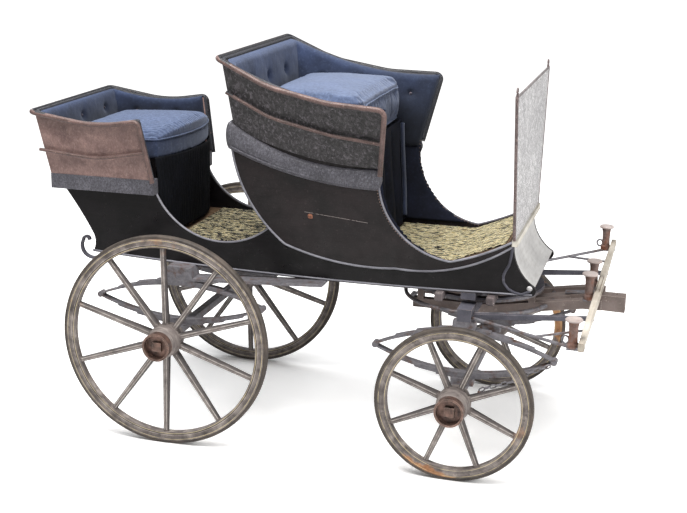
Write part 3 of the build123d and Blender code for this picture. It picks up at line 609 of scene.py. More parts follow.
def make_floor():
    """The studio's white floor. It glows for the camera's rays only, and less where things stand near, which
    paints their shadow on it.
    """
    f = Finish("studio_floor")
    # Painted shadow: the glow fades where ambient occlusion finds things near
    open_sky = f.node("AmbientOcclusion", {"Distance": 0.9}, samples=12).outputs["AO"]
    glow_with_painted_shadow = f.times(f.rise(open_sky, 0.55, 0.97, 0.80), f.node("LightPath").outputs["Is Camera Ray"])
    f.done(colour(244, 244, 244), 0.9, **{"Emission Strength": glow_with_painted_shadow, "Emission Color": (1, 1, 1, 1)})
    mesh = bpy.data.meshes.new("studio_floor")
    size = FLOOR_HALF_SIZE
    mesh.from_pydata([(-size, -size, 0), (size, -size, 0), (size, size, 0), (-size, size, 0)], [],
                     [(0, 1, 2, 3)])
    floor = bpy.data.objects.new("studio_floor", mesh)
    bpy.context.scene.collection.objects.link(floor)
    mesh.materials.append(f.material)


# Shapes shared with the frame: side views in metres from the rear axle, as (ahead, height)
FLARE = ((0.362, 0.880), (0.408, 1.100), (0.462, 1.620))
SHELL_WALL = 0.014
MAIN_SHELL = {"low": (1.400, 0.321, 0.425, 1.020, 0.458), "high": (1.920, 0.266, 0.534, 1.110, 0.742)}
REAR_SHELL = {"low": (1.240, -0.690, 0.398, -0.142, 0.400), "high": (1.600, -0.752, 0.448, -0.204, 0.446)}


def circle_through(first, second, third):
    """Centre and radius of the circle through three flat points."""
    (ax, ay), (bx, by), (cx, cy) = first, second, third
    d = 2 * (ax * (by - cy) + bx * (cy - ay) + cx * (ay - by))
    a, b, c = ax * ax + ay * ay, bx * bx + by * by, cx * cx + cy * cy
    x = (a * (by - cy) + b * (cy - ay) + c * (ay - by)) / d
    y = (a * (cx - bx) + b * (ax - cx) + c * (bx - ax)) / d
    return x, y, math.hypot(ax - x, ay - y)


def arc(first, second, third, count=24):
    """Flat points along the arc through three points."""
    x, y, radius = circle_through(first, second, third)
    angles = [math.atan2(p[1] - y, p[0] - x) for p in (first, second, third)]
    sweep = angles[2] - angles[0]
    through = angles[1] - angles[0]
    turn = 2 * math.pi
    sweep, through = sweep % turn, through % turn
    if through > sweep:
        sweep -= turn
    return [(x + radius * math.cos(angles[0] + sweep * i / count),
             y + radius * math.sin(angles[0] + sweep * i / count)) for i in range(count + 1)]


def arcs(*bends):
    """Arcs end to end, each with what arc takes."""
    line = arc(*bends[0])
    for bend in bends[1:]:
        line += arc(*bend)[1:]
    return line


def turns(count):
    """Even angles round a circle."""
    return [2 * math.pi * k / count for k in range(count)]


def height_on(points, ahead):
    """Height of a side view line at a distance ahead of the rear axle."""
    points = sorted(points)
    ahead = min(max(ahead, points[0][0]), points[-1][0])
    for (x0, z0), (x1, z1) in zip(points, points[1:]):
        if ahead <= x1:
            return z0 + (z1 - z0) * (ahead - x0) / max(x1 - x0, 1e-9)
    return points[-1][1]


def flare(z, bend=FLARE):
    """Half width of the flared seat side's outer face at a height, or of another bend's."""
    y, height, radius = circle_through(*bend)
    side = 1 if bend[1][0] > y else -1
    return y + side * math.sqrt(max(radius ** 2 - (z - height) ** 2, 0))


def shell_level(shell, z):
    """(rear, half width at the rear, front, half width at the front) of a seat shell at a height."""
    low, high = shell["low"], shell["high"]
    share = (z - low[0]) / (high[0] - low[0])
    return [a + share * (b - a) for a, b in zip(low[1:], high[1:])]


def smooth(value):
    value = min(max(value, 0.0), 1.0)
    return value * value * (3 - 2 * value)


# Making pieces
def piece_from(name, points, faces, finish, slot=None, body="root", smooth_faces=True):
    mesh = bpy.data.meshes.new(name)
    mesh.from_pydata([tuple(p) for p in points], [], faces)
    mesh.validate()
    piece = bpy.data.objects.new(name, mesh)
    bpy.context.scene.collection.objects.link(piece)
    dress(piece, finish, body, smooth_faces)
    return piece


def dress(piece, finish, body="root", smooth_faces=True):
    assign(piece, finish)
    if smooth_faces:
        piece.data.polygons.foreach_set("use_smooth", [True] * len(piece.data.polygons))
    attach(piece, body)


def grid_faces(rows, columns, close_rows=False, close_columns=False):
    faces = []
    for i in range(rows if close_rows else rows - 1):
        for j in range(columns if close_columns else columns - 1):
            a, b = i * columns + j, i * columns + (j + 1) % columns
            c, d = ((i + 1) % rows) * columns + (j + 1) % columns, ((i + 1) % rows) * columns + j
            faces.append((a, b, c, d))
    return faces


def skin(sections):
    """Points and faces of a body with these cross sections, closed at both ends."""
    count, last = len(sections[0]), len(sections) - 1
    faces = grid_faces(last + 1, count, False, True)
    faces += [tuple(range(count)), tuple(reversed(range(last * count, (last + 1) * count)))]
    return [at(*p) for section in sections for p in section], faces


def even_points(points, step, closed=False):
    """Points at an even step along a line of points."""
    line = [Vector(p) for p in points]
    if closed:
        line.append(line[0])
    lengths = [0.0]
    for first, second in zip(line, line[1:]):
        lengths.append(lengths[-1] + (second - first).length)
    count = max(2, round(lengths[-1] / step))
    spots, j = [], 0
    for i in range(count if closed else count + 1):
        want = lengths[-1] * i / count
        while j < len(lengths) - 2 and lengths[j + 1] < want:
            j += 1
        gap = max(lengths[j + 1] - lengths[j], 1e-9)
        spots.append(line[j].lerp(line[j + 1], (want - lengths[j]) / gap))
    return spots


def tube_mesh(points, radius, sides=10, closed=False, squash=1.0, up=(0, 0, 1)):
    """Vertices and faces of a tube along points; its section may be flatter along the up direction."""
    count = len(points)
    vertices = []
    for i, point in enumerate(points):
        before = points[i - 1] if closed or i > 0 else points[i]
        after = points[(i + 1) % count] if closed or i < count - 1 else points[i]
        along = (after - before).normalized()
        side = along.cross(Vector(up))
        side = side.normalized() if side.length > 1e-5 else along.orthogonal().normalized()
        top = side.cross(along)
        for turn in turns(sides):
            vertices.append(point + radius * (math.cos(turn) * side + squash * math.sin(turn) * top))
    faces = grid_faces(count, sides, closed, True)
    if not closed:
        faces.append(tuple(reversed(range(sides))))
        faces.append(tuple(range((count - 1) * sides, count * sides)))
    return vertices, faces


def tube(name, points, radius, finish, slot=None, body="root", step=0.008, closed=False, sides=10,
         squash=1.0, up=(0, 0, 1), both_sides=False):
    """A round or oval bead along points, also mirrored to the other side where both_sides is set."""
    line = even_points(points, step, closed)
    vertices, faces = tube_mesh(line, radius, sides, closed, squash, up)
    if both_sides:
        vertices, faces = add_mirror(vertices, faces)
    return piece_from(name, vertices, faces, finish, slot, body)


def add_mirror(vertices, faces):
    shift = len(vertices)
    return (vertices + [Vector((v[0], -v[1], v[2])) for v in vertices],
            faces + [tuple(shift + i for i in reversed(face)) for face in faces])


# Cushions, swollen by a cloth simulation
VOXEL = 0.009
SIMULATED_FRAMES = 20
COVER = {"quality": 3, "use_pressure": True, "uniform_pressure_force": 4.0, "tension_stiffness": 12,
         "compression_stiffness": 12, "bending_stiffness": 0.4}
PIPING_RADIUS, PIPING_PULL = 0.0045, 0.3
CORNER_STEPS = 6


def prism(outline, low, high):
    """A closed block over a plan outline, as a mesh."""
    mesh = bpy.data.meshes.new("block")
    count = len(outline)
    points = [(x, y, z) for z in (low, high) for x, y in outline]
    faces = [tuple(reversed(range(count))), tuple(range(count, 2 * count))]
    faces += [(i, (i + 1) % count, count + (i + 1) % count, count + i) for i in range(count)]
    mesh.from_pydata(points, [], faces)
    return mesh


def evaluated_copy(piece):
    graph = bpy.context.evaluated_depsgraph_get()
    return bpy.data.meshes.new_from_object(piece.evaluated_get(graph))


def applied(piece, kind, **settings):
    """Gives the piece the mesh that a modifier makes of it."""
    modifier = piece.modifiers.new(kind.title(), kind)
    for key, value in settings.items():
        setattr(modifier, key, value)
    piece.data = evaluated_copy(piece)
    piece.modifiers.remove(modifier)


def swell(piece, cap):
    """Blows the piece up like a stuffed cover; no point moves further than the cap."""
    applied(piece, "REMESH", mode="VOXEL", voxel_size=VOXEL)
    rest = [v.co.copy() for v in piece.data.vertices]
    cloth = piece.modifiers.new("Cloth", "CLOTH")
    for key, value in COVER.items():
        setattr(cloth.settings, key, value)
    cloth.settings.effector_weights.gravity = 0
    cloth.collision_settings.use_collision = False
    for number in range(1, SIMULATED_FRAMES + 1):
        bpy.context.scene.frame_set(number)
    swollen = evaluated_copy(piece)
    piece.modifiers.remove(cloth)
    bpy.context.scene.frame_set(1)
    piece.data = swollen
    for vertex, start in zip(piece.data.vertices, rest):
        step = vertex.co - start
        if step.length > cap:
            vertex.co = start + step * (cap / step.length)
    piece.data.update()


def cushion(name, node, outline, low, high, cap=0.022, crown=0.02, wrinkle=0.0025):
    """A stuffed cushion over a plan outline in row frame metres."""
    piece = bpy.data.objects.new(name, prism(outline, low, high))
    bpy.context.scene.collection.objects.link(piece)
    swell(piece, cap)
    middle_x = sum(x for x, y in outline) / len(outline)
    reach_x = max(abs(x - middle_x) for x, y in outline)
    reach_y = max(abs(y) for x, y in outline)
    for vertex in piece.data.vertices:
        x, y, z = vertex.co
        share = smooth((z - low) / (high - low))
        dome = (1 - min(abs(x - middle_x) / reach_x, 1) ** 2.2) * (1 - min(abs(y) / reach_y, 1) ** 2.4)
        fold = noise.noise(Vector((x * 9, y * 9, z * 14)))
        fold += 0.5 * noise.noise(Vector((x * 24, y * 24, z * 30)))
        vertex.co += Vector((0, 0, crown * share * dome)) + vertex.normal * wrinkle * fold
    applied(piece, "SUBSURF", levels=1, render_levels=1)
    dress(piece, "blue_cloth")
    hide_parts(node)
    return piece


def piping(name, piece, loop, radius=PIPING_RADIUS):
    """A welt sewn along a closed loop near a cushion's surface."""
    tree = BVHTree.FromPolygons([v.co for v in piece.data.vertices],
                                [p.vertices for p in piece.data.polygons])
    line = []
    for spot in even_points(loop, 0.012, closed=True):
        place, normal = tree.find_nearest(spot)[:2]
        line.append(place + normal * radius * PIPING_PULL)
    for _ in range(3):
        line = [(line[i - 1] + 2 * line[i] + line[(i + 1) % len(line)]) / 4 for i in range(len(line))]
    vertices, faces = tube_mesh(line, radius, 8, True)
    piece_from(name, vertices, faces, "blue_cloth")


def rounded_outline(corners, radius):
    """Plan outline with rounded corners, from corners in turning order."""
    outline = []
    count = len(corners)
    for i, corner in enumerate(corners):
        here = Vector(corner)
        before = (Vector(corners[i - 1]) - here).normalized()
        after = (Vector(corners[(i + 1) % count]) - here).normalized()
        for k in range(CORNER_STEPS + 1):
            share = k / CORNER_STEPS
            outline.append(tuple(here + before * radius * (1 - share) ** 2 + after * radius * share ** 2))
    return outline


MAIN_SEAT_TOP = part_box("main_cushion")[0].z
REAR_SEAT_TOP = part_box("rear_cushion")[0].z
MAIN_CUSHION_BACK, MAIN_CUSHION_FRONT = 0.385, 0.925
MAIN_CUSHION_REAR_Y, MAIN_CUSHION_FRONT_Y = 0.402, 0.446
MAIN_CUSHION_LOW, MAIN_CUSHION_HIGH = MAIN_SEAT_TOP + 0.012, MAIN_SEAT_TOP + 0.212


def row(outline):
    """A plan outline moved from the rear axle into the row frame."""
    return [(REAR_AXLE_X + x, y) for x, y in outline]


def make_main_cushion():
    corners = [(MAIN_CUSHION_BACK, -MAIN_CUSHION_REAR_Y), (MAIN_CUSHION_FRONT, -MAIN_CUSHION_FRONT_Y),
               (MAIN_CUSHION_FRONT, MAIN_CUSHION_FRONT_Y), (MAIN_CUSHION_BACK, MAIN_CUSHION_REAR_Y)]
    outline = row(rounded_outline(corners, 0.13))
    piece = cushion("main_seat_cushion", "main_cushion", outline, MAIN_CUSHION_LOW, MAIN_CUSHION_HIGH,
                    crown=0.030)
    top_edge = [Vector((x, y, MAIN_CUSHION_HIGH - 0.022)) for x, y in outline]
    foot_edge = [Vector((x, y, MAIN_CUSHION_LOW + 0.012)) for x, y in outline]
    piping("main_cushion_top_piping", piece, top_edge)
    piping("main_cushion_foot_piping", piece, foot_edge)


REAR_CUSHION_BACK, REAR_CUSHION_FRONT, REAR_CUSHION_BOW = -0.655, -0.136, 0.085
REAR_CUSHION_HALF = 0.365
REAR_CUSHION_LOW, REAR_CUSHION_HIGH = REAR_SEAT_TOP + 0.008, REAR_SEAT_TOP + 0.098
RIB_STEP = 0.021
RIB_HEIGHT = 0.0032


def rear_bow(y, bow=REAR_CUSHION_BOW):
    """How far ahead the rear cushion's rounded front edge lies at a place across the seat."""
    return bow * (1 - (abs(y) / REAR_CUSHION_HALF) ** 2.4)


def make_rear_cushion():
    back = [(REAR_CUSHION_BACK, REAR_CUSHION_HALF), (REAR_CUSHION_BACK, -REAR_CUSHION_HALF)]
    across = [-REAR_CUSHION_HALF + 2 * REAR_CUSHION_HALF * i / 24 for i in range(25)]
    outline = row(back + [(REAR_CUSHION_FRONT + rear_bow(y), y) for y in across])
    piece = cushion("rear_seat_cushion", "rear_cushion", outline, REAR_CUSHION_LOW, REAR_CUSHION_HIGH,
                    cap=0.020, crown=0.048, wrinkle=0.0015)
    for vertex in piece.data.vertices:
        rib = abs(math.sin(math.pi * (vertex.co.y + 0.02 * math.sin(vertex.co.x * 9)) / RIB_STEP))
        lift = smooth((vertex.co.z - REAR_CUSHION_HIGH + 0.02) / 0.03)
        vertex.co.z += RIB_HEIGHT * lift * (1 - 2 * (1 - rib) ** 3)
    top_edge = [Vector((x, y, REAR_CUSHION_HIGH)) for x, y in outline]
    piping("rear_cushion_top_piping", piece, top_edge, 0.004)


# Squabs: padded arms and back inside each seat shell, with buttons

def squab_path(shell, z, inset):
    """The left arm's front and rear ends in plan, inside a seat shell at a height, and the way forward."""
    rear, rear_y, front, front_y = shell_level(shell, z)
    slope = (front_y - rear_y) / (front - rear)
    back = rear + inset
    half = rear_y + slope * (back - rear) - inset
    tip = front_y - inset
    end, turn = Vector((front, tip)), Vector((back, half))
    return end, turn, (end - turn).normalized()


def squab_spot(shell, z, inset, corner, u, front_cut=0.0):
    """Plan point and inward direction at u, which runs 0 to 1 on the left arm, 1 to 2 on the back, 2 to 3 on
    the right arm."""
    end, turn, arm = squab_path(shell, z, inset)
    off_arm, off_back = Vector((arm.y, -arm.x)), Vector((1, 0))
    mirrored = u > 1.5
    v = 3 - u if mirrored else u
    arm_length = (end - turn).length - front_cut
    if v <= 1:
        spot = turn + arm * arm_length * (1 - v)
        inward = off_arm
        reach = arm_length * (1 - v)
    else:
        spot = Vector((turn.x, turn.y * (1 - (v - 1) * 2)))
        inward = off_back
        reach = turn.y * (v - 1) * 2
    blend = 0.5 * smooth(1 - reach / corner) if reach < corner else 0.0
    if blend > 0:
        other = off_back if v <= 1 else off_arm
        inward = (inward * (1 - blend) + other * blend).normalized()
        diagonal = (off_back + off_arm).normalized()
        spot = spot + diagonal * corner * 0.30 * (2 * blend) ** 2
    if mirrored:
        spot, inward = Vector((spot.x, -spot.y)), Vector((inward.x, -inward.y))
    return spot, inward


# How far a button's dimple and the hollow round it reach, and how deep they pull
DIMPLE_REACH, DIMPLE_PULL, HOLLOW_REACH, HOLLOW_PULL = 0.022, 0.62, 0.07, 0.26


def make_squab(name, shell, top_line, foot_line, thickness, buttons, finish, node=None, front_cut=0.006,
               corner=0.05, belly=0.008):
    """A padded lining round a seat. Buttons are (u, height) places that pull the padding in."""
    columns = []
    arm_share = 110
    us = [i / arm_share for i in range(arm_share + 1)]
    us += [1 + i / arm_share for i in range(1, arm_share)]
    us += [2 + i / arm_share for i in range(arm_share + 1)]
    rows_up = 48
    button_spots = []
    for u, z in buttons:
        spot, inward = squab_spot(shell, z, SHELL_WALL, corner, u, front_cut)
        button_spots.append((Vector((spot.x, spot.y, z)), Vector((inward.x, inward.y, 0))))
    for u in us:
        ahead = squab_spot(shell, top_line[0][1], SHELL_WALL, corner, u, front_cut)[0].x
        high = height_on(top_line, ahead)
        low = height_on(foot_line, ahead)
        end = min(u, 3 - u)
        rounding = math.sqrt(max(0.0, 1 - (1 - min(end / 0.045, 1)) ** 2))
        column = []
        for j in range(rows_up + 1):
            z = low + (high - low) * j / rows_up
            spot, inward = squab_spot(shell, z, SHELL_WALL + 0.0005, corner, u, front_cut)
            column.append(Vector((spot.x, spot.y, z)))
        for j in range(rows_up, -1, -1):
            share = j / rows_up
            z = low + (high - low) * share
            spot, inward = squab_spot(shell, z, SHELL_WALL + 0.0005, corner, u, front_cut)
            edge = min((high - z) / 0.03, (z - low) / 0.03, 1)
            depth = (thickness + belly * math.sin(math.pi * share)) * math.sqrt(max(0, 1 - (1 - edge) ** 2))
            base = Vector((spot.x, spot.y, z))
            pull = 0.0
            for place, normal in button_spots:
                distance = (base - place).length
                pull += (math.exp(-(distance / DIMPLE_REACH) ** 2) * DIMPLE_PULL
                         + math.exp(-(distance / HOLLOW_REACH) ** 2) * HOLLOW_PULL)
            crease = 0.0016 * noise.noise(base * 16) + 0.0010 * noise.noise(base * 40)
            depth = max(depth * (1 - min(pull, 0.85)) + crease * edge, 0.0006) * rounding
            column.append(base + Vector((inward.x, inward.y, 0)) * max(depth, 0.0004))
        columns.append(column)
    points, faces = skin(columns)
    piece = piece_from(name, points, faces, finish, "blue_cloth")
    repair_normals(piece)
    if node:
        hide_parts(node)
    return [(at(*place) + normal * thickness * 0.36, normal) for place, normal in button_spots]


def repair_normals(piece):
    work = bmesh.new()
    work.from_mesh(piece.data)
    bmesh.ops.recalc_face_normals(work, faces=work.faces)
    work.to_mesh(piece.data)
    work.free()


def domes(name, places, radius, height, finish, slot=None, rings=4, sides=10):
    """Small round heads, each on a place with its outward direction, joined in one mesh."""
    vertices, faces = [], []
    for place, normal in places:
        side = normal.orthogonal().normalized()
        top = normal.cross(side)
        start = len(vertices)
        for i in range(rings):
            slope = 0.5 * math.pi * i / rings
            for turn in turns(sides):
                flat = (math.cos(turn) * side + math.sin(turn) * top) * radius * math.cos(slope)
                vertices.append(place + flat + normal * height * math.sin(slope))
        vertices.append(place + normal * height)
        faces += [tuple(start + i for i in face) for face in grid_faces(rings, sides, False, True)]
        last = start + (rings - 1) * sides
        faces += [(last + k, last + (k + 1) % sides, len(vertices) - 1) for k in range(sides)]
        faces.append(tuple(reversed(range(start, start + sides))))
    piece_from(name, vertices, faces, finish, slot)


MAIN_TOP = arc((1.150, 1.718), (0.560, 1.774), (0.267, 1.898))
MAIN_FOOT = arc((0.180, 1.600), (0.520, 1.455), (1.150, 1.368))
MAIN_BUTTONS = ((0.17, 1.628), (0.17, 1.440), (0.52, 1.655), (0.80, 1.700), (1.22, 1.762), (1.50, 1.762),
                (1.78, 1.762), (2.20, 1.700), (2.48, 1.655), (2.83, 1.628), (2.83, 1.440))
REAR_TOP = arc((-0.100, 1.590), (-0.430, 1.531), (-0.752, 1.575))
REAR_FOOT = ((-0.80, 1.372), (-0.10, 1.366))
REAR_BUTTONS = ((0.30, 1.47), (0.75, 1.47), (1.18, 1.50), (1.5, 1.50), (1.82, 1.50), (2.25, 1.47),
                (2.70, 1.47))


def make_squabs():
    knobs = make_squab("main_seat_squab", MAIN_SHELL, [(x, z + 0.014) for x, z in MAIN_TOP], MAIN_FOOT,
                       0.032, MAIN_BUTTONS, "main_squab_cloth", node="main_seat_lining", front_cut=0.0)
    domes("main_seat_buttons", knobs, 0.0085, 0.006, "button_cloth", "blue_cloth")
    knobs = make_squab("rear_seat_squab", REAR_SHELL, [(x, z + 0.012) for x, z in REAR_TOP], REAR_FOOT,
                       0.020, REAR_BUTTONS, "rear_squab_cloth", corner=0.035, belly=0.004)
    domes("rear_seat_buttons", knobs, 0.0075, 0.005, "button_cloth", "blue_cloth")
    make_rim("main_seat_rim", MAIN_SHELL, MAIN_TOP, 0.0095, 1.40, -0.002)
    make_rim("rear_seat_rim", REAR_SHELL, REAR_TOP, 0.0095, 1.275, 0.003)


def make_rim(name, shell, top_line, radius, foot, inset):
    """The dark welt along the top of a seat's lining and down the front edges of its arms."""
    line = []
    for i in range(9):
        z = foot + (height_on(top_line, 9.0) - 0.02 - foot) * i / 8
        spot = squab_spot(shell, z, inset, 0.03, 0.0)[0]
        line.append(Vector((spot.x + 0.002, spot.y, z)))
    for i in range(1, 60):
        u = 0.02 + 1.48 * i / 59
        spot = squab_spot(shell, top_line[0][1], inset, 0.03, u)[0]
        z = height_on(top_line, spot.x)
        spot = squab_spot(shell, z, inset, 0.03, u)[0]
        line.append(Vector((spot.x, spot.y, z + radius)))
    line += [Vector((p.x, -p.y, p.z)) for p in reversed(line[:-1])]
    line = [at(*p) for p in line]
    tube(name, line, radius, "dark_welt", "grey_leather", step=0.01)


# Cloth falls in front of both seats
CLOTH_THICKNESS = 0.003


def fall_sheet(name, node, top, foot, half_top, half_foot, waves, depth, bow_top=None, bow_foot=None,
               hold=0.12, seed=0.0, finish="fall_cloth"):
    """A hanging sheet with upright folds. Top and foot are (ahead, height)."""
    columns, rows_down = 260, 40
    points, widths = [], []
    for j in range(rows_down + 1):
        share = j / rows_down
        z = top[1] + (foot[1] - top[1]) * share
        half = half_top + (half_foot - half_top) * share
        line = []
        for i in range(columns + 1):
            across = -1 + 2 * i / columns
            wander = 0.25 * noise.noise(Vector((across * 3, share * 1.5, seed)))
            phase = math.pi * waves * (across + wander * 0.3)
            fold = abs(math.sin(phase)) ** 0.7 - 0.5
            loose = smooth(share / hold) if hold else 1.0
            ripple = 0.004 * noise.noise(Vector((across * 8, share * 3, seed + 5)))
            ahead = top[0] + (foot[0] - top[0]) * share + depth * loose * fold + ripple * loose
            if bow_top:
                y = across * REAR_CUSHION_HALF
                ahead += bow_top(y) * (1 - share) + bow_foot(y) * share
            line.append(at(ahead, across * half, z))
        widths.append(sum((b - a).length for a, b in zip(line, line[1:])))
        points += line
    faces = grid_faces(rows_down + 1, columns + 1)
    piece = piece_from(name, points, faces, finish, "blue_cloth")
    applied(piece, "SOLIDIFY", thickness=CLOTH_THICKNESS, offset=-1)
    repair_normals(piece)
    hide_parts(node)
    return piece


FLOOR_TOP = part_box("floor_mats")[0].z


def make_falls():
    fall_sheet("main_seat_curtain", "main_seat_fall", (0.912, MAIN_SEAT_TOP + 0.012),
               (0.962, FLOOR_TOP + 0.02), 0.430, 0.345, 2.2, 0.020, seed=2.0)
    # The rear skirt's darker cloth is painted shade under the rear cushion
    fall_sheet("rear_seat_skirt", "rear_seat_fall", (-0.150, REAR_SEAT_TOP + 0.012),
               (-0.140, FLOOR_TOP + 0.02), 0.358, 0.325, 17.0, 0.010, bow_top=rear_bow,
               bow_foot=lambda y: rear_bow(y, 0.07), hold=0.1, seed=7.0,
               finish="skirt_cloth")


# Woven mats on the floor
MAT_HALF = 0.326
MAT_THICKNESS = 0.004


def mat(name, line, seed, finish="straw_mat"):
    """A coarse mat along a side view line, with a slightly uneven face and edges."""
    spots = even_points([at(x, 0, z) for x, z in line], 0.008)
    across = 82
    points = []
    for spot in spots:
        for j in range(across + 1):
            y = -MAT_HALF + 2 * MAT_HALF * j / across
            lump = 0.0022 * noise.noise(Vector((spot.x * 30, y * 30, seed)))
            lump += 0.0015 * noise.noise(Vector((spot.x * 80, y * 80, seed)))
            points.append(spot + Vector((0, y, lump + 0.0045)))
    piece = piece_from(name, points, grid_faces(len(spots), across + 1), finish, "straw_mat")
    applied(piece, "SOLIDIFY", thickness=MAT_THICKNESS, offset=0)
    repair_normals(piece)
    return piece


def make_mats():
    front = mat("front_mat", ((0.968, FLOOR_TOP), (1.350, FLOOR_TOP), (1.598, FLOOR_TOP + 0.102)), 1.0)
    # The rear mat's extra flecks are partly real and partly painted shade
    mat("rear_mat", ((-0.050, FLOOR_TOP), (0.480, FLOOR_TOP)), 9.0, "dark_straw_mat")
    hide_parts("floor_mats")


# Linings below the squab, on the inside of the flared sides
SEAT_WALL = 0.018
LINING_TOP = 1.388
FRONT_EDGE = arc((1.350, 0.984), (1.112, 1.103), (1.012, 1.400))


def make_side_linings():
    """Dark cloth from the arms down to the mat, inside each flared side."""
    rows_up, columns = 40, 30
    outer, inner = [], []
    for j in range(rows_up + 1):
        z = 0.994 + (LINING_TOP - 0.994) * j / rows_up
        edge = sorted((abs(zz - z), x) for x, zz in FRONT_EDGE)[0][1] if z < 1.40 else 1.012
        front = edge + 0.012
        rear = 0.55
        for i in range(columns + 1):
            x = rear + (front - rear) * i / columns
            near_edge = smooth((front - x) / 0.02) * smooth((LINING_TOP + 0.002 - z) / 0.02)
            y = flare(z) - SEAT_WALL - 0.0015
            lump = noise.noise(Vector((x * 12, 0, z * 12)))
            puff = 0.009 * math.sqrt(near_edge) + 0.002 * lump * near_edge
            outer.append(at(x, y, z))
            inner.append(at(x, y - 0.001 - puff, z))
    count = columns + 1
    faces = grid_faces(rows_up + 1, count)
    shift = len(outer)
    back = [tuple(shift + i for i in reversed(face)) for face in faces]
    rim = list(range(count)) + [count * j + columns for j in range(1, rows_up + 1)]
    rim += [count * rows_up + i for i in range(columns - 1, -1, -1)]
    rim += [count * j for j in range(rows_up - 1, 0, -1)]
    sides = [(a, b, shift + b, shift + a) for a, b in zip(rim, rim[1:] + rim[:1])]
    points, faces = add_mirror(outer + inner, faces + back + sides)
    piece = piece_from("main_seat_side_linings", points, faces, "lining_cloth", "blue_cloth")
    repair_normals(piece)


# Beads and nails along the body's edges
BODY_SIDE = 0.360
SEAT_SIDE_LINE = arcs(((0.288, 1.600), (0.345, 1.262), (0.535, 1.003)),
                      ((0.535, 1.003), (0.770, 0.936), (1.085, 0.924)),
                      ((1.085, 0.924), (1.400, 0.958), (1.640, 1.084)))
FRONT_OPENING_LINE = arcs(((1.012, 1.400), (1.112, 1.103), (1.350, 0.984)),
                          ((1.350, 0.984), (1.490, 1.032), (1.640, 1.108)))
NAILED_UP_TO = 1.30
BEAD_RADIUS = 0.0054


def make_beads():
    for name, line in (("seat_side_bead", SEAT_SIDE_LINE), ("front_opening_bead", FRONT_OPENING_LINE)):
        points = [at(x, -(flare(z) + 0.001), z) for x, z in line]
        tube(name, points, BEAD_RADIUS, "bead_paint", "pale_paint", both_sides=True, up=(0, 1, 0))
    opening = arc((0.440, 1.065), (0.252, 0.979), (-0.152, 1.205), 40)
    tube("rear_opening_bead", [at(x, -(BODY_SIDE - 0.004), z + 0.001) for x, z in opening], 0.0055,
         "bead_paint", "pale_paint", both_sides=True, up=(0, 1, 0))
    sill = arc((-0.500, 0.868), (0.600, 0.828), (1.740, 0.842), 60)
    tube("sill_bead", [at(x, -(BODY_SIDE + 0.001), z + 0.008) for x, z in sill], 0.0045, "bead_paint",
         "pale_paint", both_sides=True, up=(0, 1, 0))
    edge = even_points([at(x, 0, z) for x, z in FRONT_OPENING_LINE], 0.0145)
    places = []
    for p in [p for p in edge if p.x < REAR_AXLE_X + NAILED_UP_TO]:
        spot = Vector((p.x - 0.010, 0, p.z))
        for side in (-1, 1):
            places.append((spot + Vector((0, side * flare(p.z), 0)), Vector((0, side, 0))))
    domes("front_opening_nails", places, 0.0038, 0.0026, "nail_brass", "hub_brass", rings=3, sides=8)


# Welt and flaps
ROLL_FRONT, ROLL_REAR, ROLL_DEPTH = 1.028, 0.287, 0.027
ROLL = ((0.450, 1.290), (0.477, 1.440), (0.468, 1.620))


def make_roll_welt():
    foot = arc((0.983, 1.311), (0.560, 1.366), (0.240, 1.484), 40)
    line = [at(x, -(flare(z + 0.022, ROLL) + 0.0005), z + 0.022) for x, z in foot if x > 0.275]
    tube("main_roll_welt", line, 0.0042, "grey_leather", both_sides=True, up=(0, 1, 0))


def make_roll():
    """The leather roll round the sides and back of the main seat's foot: a half round on the flared side."""
    high = arc((0.240, 1.640), (0.560, 1.462), (1.028, 1.425), 40)
    low = arc((1.028, 1.312), (0.560, 1.366), (0.240, 1.484), 40)
    spots = []
    for i in range(61):
        x = ROLL_REAR + (ROLL_FRONT - ROLL_REAR) * i / 60
        z0, z1 = height_on(low, x), height_on(high, x)
        close = 1 - min((ROLL_FRONT - x) / 0.035, 1)
        round_end = math.sqrt(max(1 - close ** 2, 0.0))
        middle_z, half = (z0 + z1) / 2, (z1 - z0) / 2 * max(round_end, 0.15)
        spots.append((x, 0.0, middle_z - half, middle_z + half, max(round_end, 0.15)))
    spots.reverse()
    z0, z1 = height_on(low, ROLL_REAR), height_on(high, ROLL_REAR)
    for i in range(1, 31):
        spots.append((ROLL_REAR, i / 30, z0, z1, 1.0))
    columns = []
    for x, share, z0, z1, fullness in spots:
        column = []
        for j in range(17):
            z = z0 + (z1 - z0) * j / 16
            bulge = ROLL_DEPTH * math.sqrt(max(1 - (2 * j / 16 - 1) ** 2, 0.0)) * fullness
            bulge += 0.0012 * noise.noise(Vector((x * 30, share * 20, z * 30)))
            half = flare(z)
            corner = smooth(1 - (x - ROLL_REAR) / 0.04) if share == 0 else 1.0
            out = Vector((-corner, -1 if share == 0 else -smooth(1 - share * 12), 0)).normalized()
            base = Vector((x, -half * (1 - share), z))
            column.append(base + out * (max(bulge, 0) + 0.0006))
        lift = Vector((0.004, 0, 0)) if share > 0 else Vector((0, 0.004, 0))
        column += [column[-1] + lift, column[0] + lift]
        columns.append(column)
    points, faces = add_mirror(*skin(columns))
    piece = piece_from("main_seat_roll", points, faces, "grey_leather")
    repair_normals(piece)

TURNED_SIDES = 24


